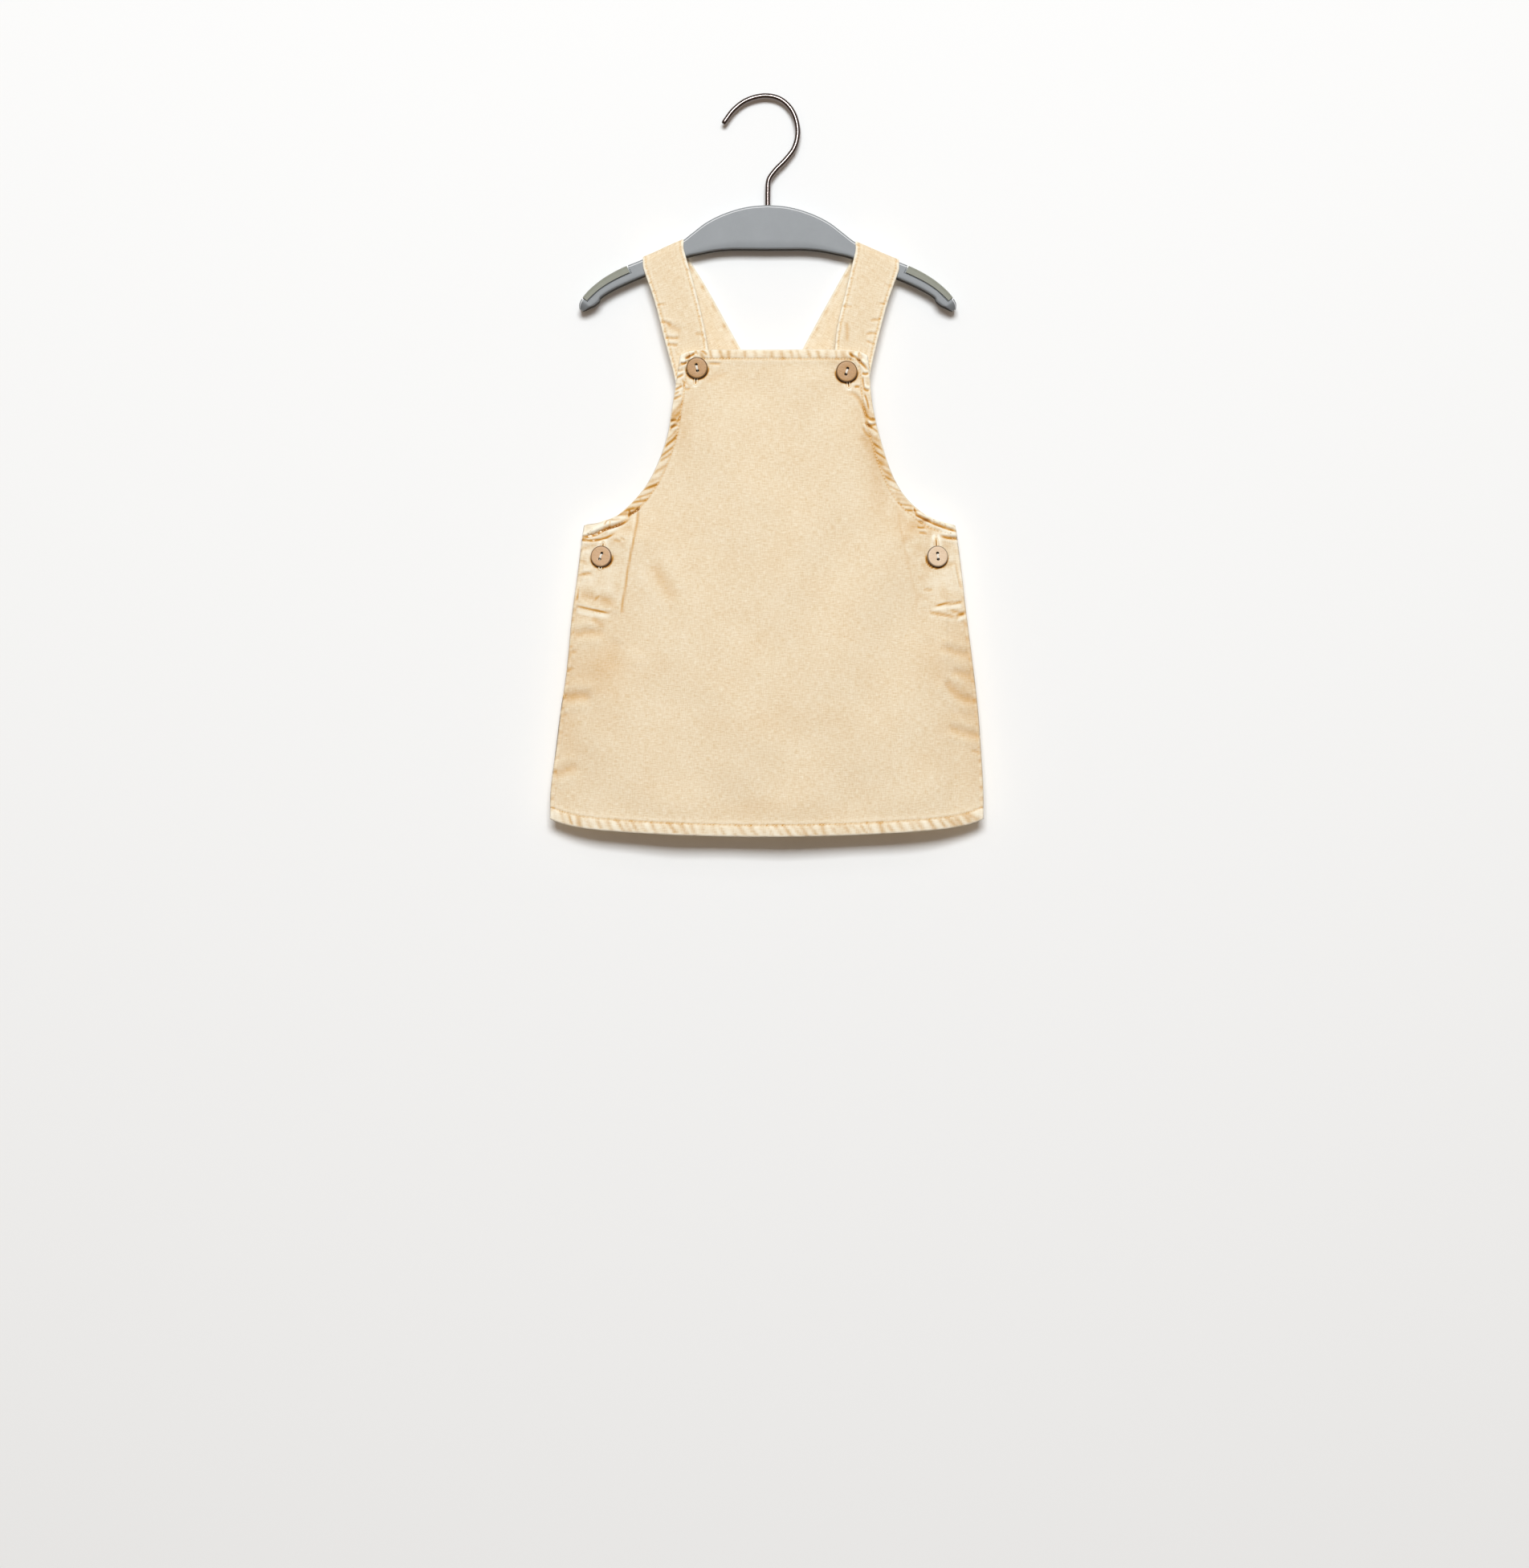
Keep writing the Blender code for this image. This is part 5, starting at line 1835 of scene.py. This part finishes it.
class Bench:
    """The node tree of one material, and the ways to add to it."""

    def __init__(self, name: str) -> None:
        """Starts a material with a Principled shader."""
        self.material = bpy.data.materials.new(name)
        self.material.use_nodes = True
        self.tree = self.material.node_tree
        self.shader = self.tree.nodes["Principled BSDF"]
        self.output = self.tree.nodes["Material Output"]

    def node(self, kind: str, settings: dict | None = None, inputs: dict | None = None) -> bpy.types.Node:
        """Adds a node.

        Args:
            kind: The node's type.
            settings: Its settings, which are set first.
            inputs: Values, sockets or wrapped sockets, by the name or number of an input.

        Returns:
            The node.
        """
        made = self.tree.nodes.new(kind)
        for key, value in (settings or {}).items():
            setattr(made, key, value)
        for key, value in (inputs or {}).items():
            self.feed(made.inputs[key], value)
        return made

    def feed(self, socket: Socket, value: object) -> None:
        """Links a socket or sets its value."""
        if isinstance(value, Value):
            self.tree.links.new(value.socket, socket)
        elif isinstance(value, Socket):
            self.tree.links.new(value, socket)
        else:
            socket.default_value = value

    def vary(self, name: str, value: object) -> None:
        """Feeds a socket of the shader whose value differs from place to place."""
        self.feed(self.shader.inputs[name], value)

    def constants(self, **values: object) -> None:
        """Sets sockets of the shader that are the same all over."""
        for name, value in values.items():
            self.shader.inputs[name.replace("_", " ").title().replace("Ior", "IOR")].default_value = value

    def attribute(self, name: str) -> Value:
        """A number that the mesh carries at its points."""
        return Value(self, self.node("ShaderNodeAttribute", {"attribute_name": name}).outputs["Fac"])

    def flat(self) -> Socket:
        """The piece's flat coordinates, in metres."""
        return self.node("ShaderNodeUVMap", {"uv_map": "flat"}).outputs["UV"]

    def place(self) -> Socket:
        """The place in the row frame, in metres."""
        return self.node("ShaderNodeTexCoord").outputs["Object"]

    def stretched(self, vector: Socket, scale: tuple[float, float, float], turn: float = 0.0) -> Socket:
        """A vector turned about Z and scaled."""
        inputs = {"Vector": vector, "Scale": scale, "Rotation": (0.0, 0.0, turn)}
        return self.node("ShaderNodeMapping", {}, inputs).outputs["Vector"]

    def noise(self, vector: Socket, scale: float, detail: float = 2.0, rough: float = 0.5) -> Value:
        """Soft noise from 0 to 1."""
        inputs = {"Vector": vector, "Scale": scale, "Detail": detail, "Roughness": rough}
        return Value(self, self.node("ShaderNodeTexNoise", {}, inputs).outputs["Fac"])

    def axis(self, vector: Socket, number: int) -> Value:
        """One coordinate of a vector."""
        return Value(self, self.node("ShaderNodeSeparateXYZ", {}, {0: vector}).outputs[number])

    def mix(self, factor: Value | float, first: object, second: object) -> Socket:
        """Blends two colours."""
        node = self.node("ShaderNodeMix", {"data_type": "RGBA"}, {0: factor, 6: first, 7: second})
        return node.outputs[2]

    def worn(self, shade: Socket, painted_tone: tuple) -> Socket:
        """A shade that gives way to another colour where the mesh's points mark it: painted shade in holes
        and on rims, painted highlight on the hanger's bevel.
        """
        return self.mix(self.attribute("wear").held(), shade, painted_tone)

    def bump(self, height: Value, distance: float) -> None:
        """Lets a height in parts of distance shape the shader's normal."""
        node = self.node("ShaderNodeBump", {}, {"Height": height, "Distance": distance, "Strength": 1.0})
        self.vary("Normal", node.outputs["Normal"])

    def dress(self, piece: Piece) -> None:
        """Gives the material to a piece."""
        piece.data.materials.clear()
        piece.data.materials.append(self.material)


def colour(red: int, green: int, blue: int) -> tuple[float, float, float, float]:
    """A screen colour of 0 to 255 as linear light: the standard curve, cubic and fifths above."""
    parts = np.array([red, green, blue]) / 255.0
    linear = np.where(parts <= 0.04045, parts / 12.92, ((parts + 0.055) / 1.055) ** 2.4)
    return (*map(float, linear), 1.0)


@dataclass(frozen=True)
class WashedCotton:
    """Garment-dyed plain weave: sand, paler on washed ridges, deeper in creases from dye and painted shade,
    with painted shadow in the darkest places.
    """

    name: str = "washed_cotton"
    sand: tuple = colour(240, 221, 188)
    light_yarn: tuple = colour(247, 233, 208)
    dark_yarn: tuple = colour(223, 196, 153)
    pale: tuple = colour(254, 246, 226)
    ochre: tuple = colour(203, 149, 66)
    deep: tuple = colour(146, 94, 40)
    dusk: tuple = colour(50, 32, 20)
    thread_pitch: float = 0.00046
    weave_depth: float = 0.00005

    def make(self) -> Bench:
        """Builds the material.

        The weave is the product of two sines across and along. Slubs are noise drawn out along
        each thread, and blotches are wide noise. The slubs choose between two yarns, and the tone
        that the mesh carries and the blotches between them, the washed-out colour, the dye left in
        creases, and the deeper tones of painted shade and painted shadow.

        Returns:
            The finished bench.
        """
        bench = Bench(self.name)
        flat = bench.flat()
        across, along = bench.axis(flat, 0), bench.axis(flat, 1)
        turn = 2.0 * np.pi / self.thread_pitch
        weave = (across * turn).sine() * (along * turn).sine()
        warp = bench.noise(bench.stretched(flat, (1500.0, 210.0, 1.0)), 1.0, 2.0)
        weft = bench.noise(bench.stretched(flat, (230.0, 1500.0, 1.0)), 1.0, 2.0)
        blotch = bench.noise(bench.stretched(flat, (45.0, 38.0, 1.0)), 1.0, 3.0, 0.6)
        fleck = bench.noise(flat, 520.0, 3.0, 0.7)
        uneven = (warp - 0.5) * 0.95 + (weft - 0.5) * 1.15 + (fleck - 0.5) * 0.7 + 0.5
        shade = bench.mix(uneven.held(), self.dark_yarn, self.light_yarn)
        wear = bench.attribute("wear") + (blotch - 0.5) * 0.5 + (weft - 0.5) * 0.25
        shade = bench.mix(wear.held(), shade, self.pale)
        shade = bench.mix((wear * -0.72).held(), shade, self.ochre)
        # Dye with painted shade in the darkest creases, and painted shade below the buttons.
        shade = bench.mix((wear * -0.8 - 1.0).held(), shade, self.deep)
        # Painted shadow under the buttons' rims and behind their holes.
        shade = bench.mix((wear * -1.0 - 3.0).held(), shade, self.dusk)
        bench.vary("Base Color", shade)
        bench.bump(weave * 0.5 + warp * 0.8 + weft * 0.8 + fleck * 0.8, self.weave_depth * 2.0)
        bench.constants(roughness=0.93, specular_ior_level=0.2, sheen_weight=0.12, sheen_roughness=0.5)
        return bench


@dataclass(frozen=True)
class SewingThread:
    """Twisted thread."""

    name: str
    light: tuple
    dark: tuple
    soiled: tuple = colour(84, 64, 48)

    def make(self) -> Bench:
        """Builds the material: fine noise stands for the twist. Where the mesh marks the thread, it takes
        painted shade.

        Returns:
            The finished bench.
        """
        bench = Bench(self.name)
        twist = bench.noise(bench.place(), 2600.0, 2.0)
        bench.vary("Base Color", bench.worn(bench.mix(twist, self.dark, self.light), self.soiled))
        bench.bump(twist, 0.00008)
        bench.constants(roughness=0.8, sheen_weight=0.1)
        return bench


@dataclass(frozen=True)
class WaxedWood:
    """Waxed wood of a button: speckled, with fine turned rings and a few dark grains."""

    name: str
    light: tuple
    dark: tuple
    edge: tuple
    burnt: tuple = colour(30, 18, 12)

    def make(self) -> Bench:
        """Builds the material on the disc's own flat coordinates. The holes' walls and the rim take painted
        shade.

        Returns:
            The finished bench.
        """
        bench = Bench(self.name)
        flat = bench.flat()
        speckle = bench.noise(flat, 1500.0, 4.0, 0.75)
        grain = bench.noise(bench.stretched(flat, (170.0, 1100.0, 1.0), 0.75), 1.0, 3.0, 0.6)
        tone = ((speckle - 0.5) * 1.3 + (grain - 0.5) * 1.1 + 0.5).held()
        shade = bench.mix(tone, self.dark, self.light)
        shade = bench.mix(((grain - 0.62) * 9.0).held(), shade, self.edge)
        bench.vary("Base Color", bench.worn(shade, self.burnt))
        bench.bump(speckle * 0.6 + grain, 0.00012)
        bench.constants(roughness=0.5, coat_weight=0.12, coat_roughness=0.35)
        return bench


@dataclass(frozen=True)
class SatinPlastic:
    """Moulded plastic with a fine even grain, and a painted highlight along its bevel."""

    name: str = "satin_plastic"
    base: tuple = colour(119, 122, 124)
    deep: tuple = colour(104, 107, 109)
    polished: tuple = colour(206, 208, 209)

    def make(self) -> Bench:
        """Builds the material: fine grain in the bump, a faint cloudiness in the colour, and a painted
        highlight where the mesh marks the bevel.

        Returns:
            The finished bench.
        """
        bench = Bench(self.name)
        place = bench.place()
        cloud = bench.noise(place, 42.0, 4.0, 0.65)
        grain = bench.noise(place, 2400.0, 2.0)
        bench.vary("Base Color", bench.worn(bench.mix(cloud, self.deep, self.base), self.polished))
        bench.vary("Roughness", grain * 0.16 + 0.36)
        bench.bump(grain, 0.00004)
        return bench


@dataclass(frozen=True)
class SoftGrip:
    """Matt olive-grey soft plastic."""

    name: str = "soft_grip"
    base: tuple = colour(140, 141, 128)
    deep: tuple = colour(126, 127, 113)

    def make(self) -> Bench:
        """Builds the material: a dusty, fine-pored surface.

        Returns:
            The finished bench.
        """
        bench = Bench(self.name)
        place = bench.place()
        cloud = bench.noise(place, 180.0, 4.0, 0.7)
        pores = bench.noise(place, 3200.0, 2.0)
        bench.vary("Base Color", bench.mix(cloud, self.deep, self.base))
        bench.bump(pores, 0.00005)
        bench.constants(roughness=0.62)
        return bench


@dataclass(frozen=True)
class DarkSteel:
    """Plated steel wire with draw marks along it."""

    name: str = "dark_steel"
    base: tuple = colour(122, 113, 110)
    mark: tuple = colour(98, 87, 83)

    def make(self) -> Bench:
        """Builds the material: noise drawn out along the wire marks its colour and roughness.

        Returns:
            The finished bench.
        """
        bench = Bench(self.name)
        flat = bench.flat()
        drawn = bench.noise(bench.stretched(flat, (20.0, 900.0, 1.0)), 1.0, 2.0, 0.5)
        bench.vary("Base Color", bench.mix(drawn, self.mark, self.base))
        bench.vary("Roughness", drawn * 0.08 + 0.14)
        bench.bump(drawn, 0.000008)
        bench.constants(metallic=1.0)
        return bench


@dataclass(frozen=True)
class Paint:
    """Matt wall or floor paint. One side shows where the surface is seen from its front only."""

    name: str
    tone: tuple
    one_sided: bool = False
    rolled: tuple = colour(236, 236, 236)

    def make(self) -> Bench:
        """Builds the material.

        Returns:
            The finished bench.
        """
        bench = Bench(self.name)
        roll = bench.noise(bench.place(), 900.0, 2.0)
        bench.vary("Base Color", bench.mix(roll * 0.12, self.tone, self.rolled))
        bench.constants(roughness=0.95, specular_ior_level=0.1)
        if self.one_sided:
            back = bench.node("ShaderNodeNewGeometry").outputs["Backfacing"]
            clear = bench.node("ShaderNodeBsdfTransparent")
            inputs = {0: back, 1: bench.shader.outputs[0], 2: clear.outputs[0]}
            both = bench.node("ShaderNodeMixShader", {}, inputs)
            bench.feed(bench.output.inputs["Surface"], both.outputs[0])
        return bench


@dataclass(frozen=True)
class PaleGlow:
    """An evenly pale surface that no light changes."""

    name: str = "dome_paint"
    tone: tuple = colour(232, 232, 230)

    def make(self) -> Bench:
        """Builds the material.

        Returns:
            The finished bench.
        """
        bench = Bench(self.name)
        bench.constants(base_color=(0.0, 0.0, 0.0, 1.0), roughness=1.0, specular_ior_level=0.0,
                        emission_color=self.tone, emission_strength=1.0)
        return bench


class Lamp(NamedTuple):
    """A soft rectangular light that looks at a point, in metres and watts."""

    name: str
    place: tuple[float, float, float]
    aim: tuple[float, float, float]
    size: Point
    power: float
    tint: tuple[float, float, float] = (1.0, 1.0, 1.0)


@dataclass
class Studio:
    """The camera, the wall and floor, and the lights: a key, a wide fill and one behind the wall."""

    eye: Vector = field(default_factory=lambda: Vector((-0.00226, -2.4, -0.4831)))
    frame_width: float = 1.0777
    sensor: float = 36.0
    wall_top: float = 0.0065
    wall_lean: float = 0.025
    wall_height: float = 2.6
    half_wide: float = 3.0
    floor_z: float = -1.3
    floor_front: float = -3.4
    floor_back: float = 2.6
    dome_radius: float = 9.0
    wall_paint: Paint = Paint("wall_paint", colour(236, 236, 235), True)
    floor_paint: Paint = Paint("floor_paint", colour(238, 238, 236))
    lamps: tuple[Lamp, ...] = (
        Lamp("key", (0.0, -4.9, 1.45), (0.0, 0.0, -0.45), (1.9, 1.3), 268.0, (0.912, 0.962, 1.0)),
        Lamp("fill", (0.0, -2.8, 0.7), (0.0, 0.0, -0.9), (3.4, 2.4), 16.0),
        Lamp("back", (0.4, 2.6, 0.9), (0.0, 0.0, -0.35), (2.2, 1.6), 27.0),
    )
    room_tint: tuple = (1.0, 0.7, 0.48, 1.0)
    room_strength: float = 0.17

    def camera(self) -> None:
        """A level camera square to the wall. Its lens makes the frame as wide as it is there."""
        data = bpy.data.cameras.new("camera")
        data.sensor_fit = "HORIZONTAL"
        data.sensor_width = self.sensor
        data.lens = self.sensor * abs(self.eye.y) / self.frame_width
        data.clip_start, data.clip_end = 0.05, 30.0
        camera = link("camera", data)
        camera.location = self.eye
        camera.rotation_euler = (np.pi / 2.0, 0.0, 0.0)
        bpy.context.scene.camera = camera

    @staticmethod
    def surface(name: str, points: list, faces: list, finish: Bench, unmet_by: tuple[str, ...]) -> None:
        """Adds one plain surface of the stage.

        Args:
            name: Its name.
            points: Its points in metres.
            faces: Its faces.
            finish: Its material.
            unmet_by: The kinds of light path that pass through it.
        """
        mesh = bpy.data.meshes.new(name)
        mesh.from_pydata(points, [], faces)
        made = link(name, mesh)
        finish.dress(made)
        made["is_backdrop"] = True
        for kind in unmet_by:
            setattr(made, f"visible_{kind}", False)

    def room(self) -> None:
        """A pale wall behind the dress, which doesn't hide it from behind, and a pale floor.

        The wall leans back a little downwards, as the hook hangs close to it and the skirt stands
        off. The floor throws no light up, so that the shadows on the wall stay as deep as in a
        room with a dark floor. A pale dome closes the view and takes no part in the light.
        """
        low, high, wide = self.floor_z, self.wall_height, self.half_wide
        foot, head = (self.wall_top - self.wall_lean * z for z in (low, high))
        wall = [(-wide, foot, low), (wide, foot, low), (wide, head, high), (-wide, head, high)]
        self.surface("wall", wall, [(0, 1, 2, 3)], self.wall_paint.make(), ("shadow",))
        front, back = self.floor_front, self.floor_back
        floor = [(-wide, front, low), (wide, front, low), (wide, back, low), (-wide, back, low)]
        self.surface("floor", floor, [(0, 1, 2, 3)], self.floor_paint.make(), ("diffuse", "glossy"))
        self.dome()

    def dome(self) -> None:
        """A sphere round the stage that only the camera sees, evenly pale.

        Its points are the sines and cosines of a turn and a rise, times its radius.
        """
        rise, turn = np.meshgrid(np.linspace(0.02, np.pi - 0.02, 25), once_round(48), indexing="ij")
        points = [np.sin(rise) * np.cos(turn), np.sin(rise) * np.sin(turn), np.cos(rise)]
        points = self.dome_radius * np.stack(points, axis=2).reshape(-1, 3)
        faces, _ = grid_faces(*rise.shape, closed=True)
        unmet_by = ("diffuse", "glossy", "transmission", "volume_scatter", "shadow")
        self.surface("dome", points.tolist(), faces.tolist(), PaleGlow().make(), unmet_by)

    def lights(self) -> None:
        """The lamps, which the camera doesn't see, and the dim warm light of the room."""
        for lamp in self.lamps:
            data = bpy.data.lights.new(lamp.name, "AREA")
            data.shape = "RECTANGLE"
            data.size, data.size_y = lamp.size
            data.energy = lamp.power
            data.color = lamp.tint
            made = link(lamp.name, data)
            made.location = lamp.place
            made.rotation_euler = (Vector(lamp.aim) - Vector(lamp.place)).to_track_quat("-Z", "Y").to_euler()
            made.visible_camera = False
        world = bpy.data.worlds.new("pale_room")
        world.use_nodes = True
        background = world.node_tree.nodes["Background"]
        background.inputs["Color"].default_value = self.room_tint
        background.inputs["Strength"].default_value = self.room_strength
        bpy.context.scene.world = world
        bpy.context.scene.view_settings.view_transform = "Standard"


@dataclass
class Pinafore:
    """The whole dress with its buttons and stitches."""

    buttonholes: tuple[Buttonhole, ...] = table(Buttonhole, (
        ("buttonhole_bib_left", (-49.6, -188.0), (-50.6, -202.2)),
        ("buttonhole_bib_right", (54.8, -190.0), (57.0, -204.2)),
        ("buttonhole_side_left", (-115.6, -313.0), (-117.8, -331.4)),
        ("buttonhole_side_right", (118.5, -310.6), (119.2, -329.0)),
    ))
    buttons: tuple[Button, ...] = table(Button, (
        ("button_bib_left", BUTTON_SEATS[0].turn, "button_dark"),
        ("button_bib_right", BUTTON_SEATS[1].turn, "button_dark"),
        ("button_side_left", BUTTON_SEATS[2].turn, "button_pale"),
        ("button_side_right", BUTTON_SEATS[3].turn, "button_pale"),
    ))
    woods: tuple[WaxedWood, ...] = table(WaxedWood, (
        ("brown_wood", colour(197, 150, 88), colour(142, 98, 46), colour(100, 66, 38)),
        ("tan_wood", colour(216, 180, 138), colour(176, 134, 94), colour(120, 84, 54)),
        ("pale_wood", colour(234, 210, 180), colour(200, 168, 134), colour(140, 104, 72)),
    ))
    seam: SewingThread = SewingThread("seam_thread", colour(248, 228, 188), colour(226, 194, 142))
    binding: SewingThread = SewingThread("buttonhole_thread", colour(252, 240, 214), colour(232, 208, 168))
    white: SewingThread = SewingThread("button_thread", colour(250, 246, 236), colour(222, 214, 200))

    def build(self) -> None:
        """Builds and dresses every piece of cloth, thread and wood."""
        slits = tuple(hole.slit() for hole in self.buttonholes)
        front = Panel(
            "front_cloth", "front_panel", -1.0, FRONT_ARMHOLE, FRONT_DEPTH, FRONT_FOLDS, -178.2, FRONT_EDGES,
            FRONT_CREASES + slits, FRONT_FURROWS, FRONT_TONE_PATCHES, PLACKETS, BUTTON_SEATS, 41,
        )
        back = Panel(
            "back_cloth", "back_panel", 1.0, BACK_ARMHOLE, BACK_DEPTH, BACK_FOLDS, -197.0, BACK_EDGES,
            BACK_CREASES, (), BACK_TONE_PATCHES, (), (), 53,
        )
        cloth, stitches = {}, {}
        for panel in (front, back):
            cloth[panel.name] = panel.build()
            lines = [panel.seat(line[2:-2]) for line in panel.stitch_lines]
            stitches[panel.name] = Stitching().sew(panel.name + "_stitches", lines)
        for side, rows, seed in (("left", STRAP_LEFT, 61), ("right", STRAP_RIGHT, 67)):
            strap = Strap(f"strap_cloth_{side}", f"strap_{side}", rows, STRAP_CREASES[side], seed)
            cloth[strap.name] = strap.build()
            lines = [strap.stitch_line(place) for place in (strap.seam, strap.width - strap.seam)]
            stitches[strap.name] = Stitching().sew(strap.name + "_stitches", lines)
        holes = [hole.build(front) for hole in self.buttonholes]
        finishes = ((WashedCotton(), cloth.values()), (self.seam, stitches.values()), (self.binding, holes))
        for finish, pieces in finishes:
            bench = finish.make()
            for piece in pieces:
                bench.dress(piece)
        brown, tan, pale, white = (finish.make() for finish in (*self.woods, self.white))
        for button, wood in zip(self.buttons, (brown, brown, tan, pale)):
            wood.dress(button.build())
            threads = button.build_thread()
            white.dress(threads)


def main() -> None:
    """Builds the stage, the hanger and the dress, and reports each piece."""
    logging.basicConfig(level=logging.INFO, format="%(message)s")
    studio = Studio()
    studio.camera()
    studio.room()
    studio.lights()
    hanger = Hanger()
    SatinPlastic().make().dress(hanger.build_body())
    grip = SoftGrip().make()
    for side in (-1.0, 1.0):
        grip.dress(hanger.build_grip(side))
    DarkSteel().make().dress(hanger.build_hook())
    Pinafore().build()
    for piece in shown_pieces():
        log.info("%s: %d faces", piece.name, len(piece.data.polygons))


if __name__ == "__main__":
    main()
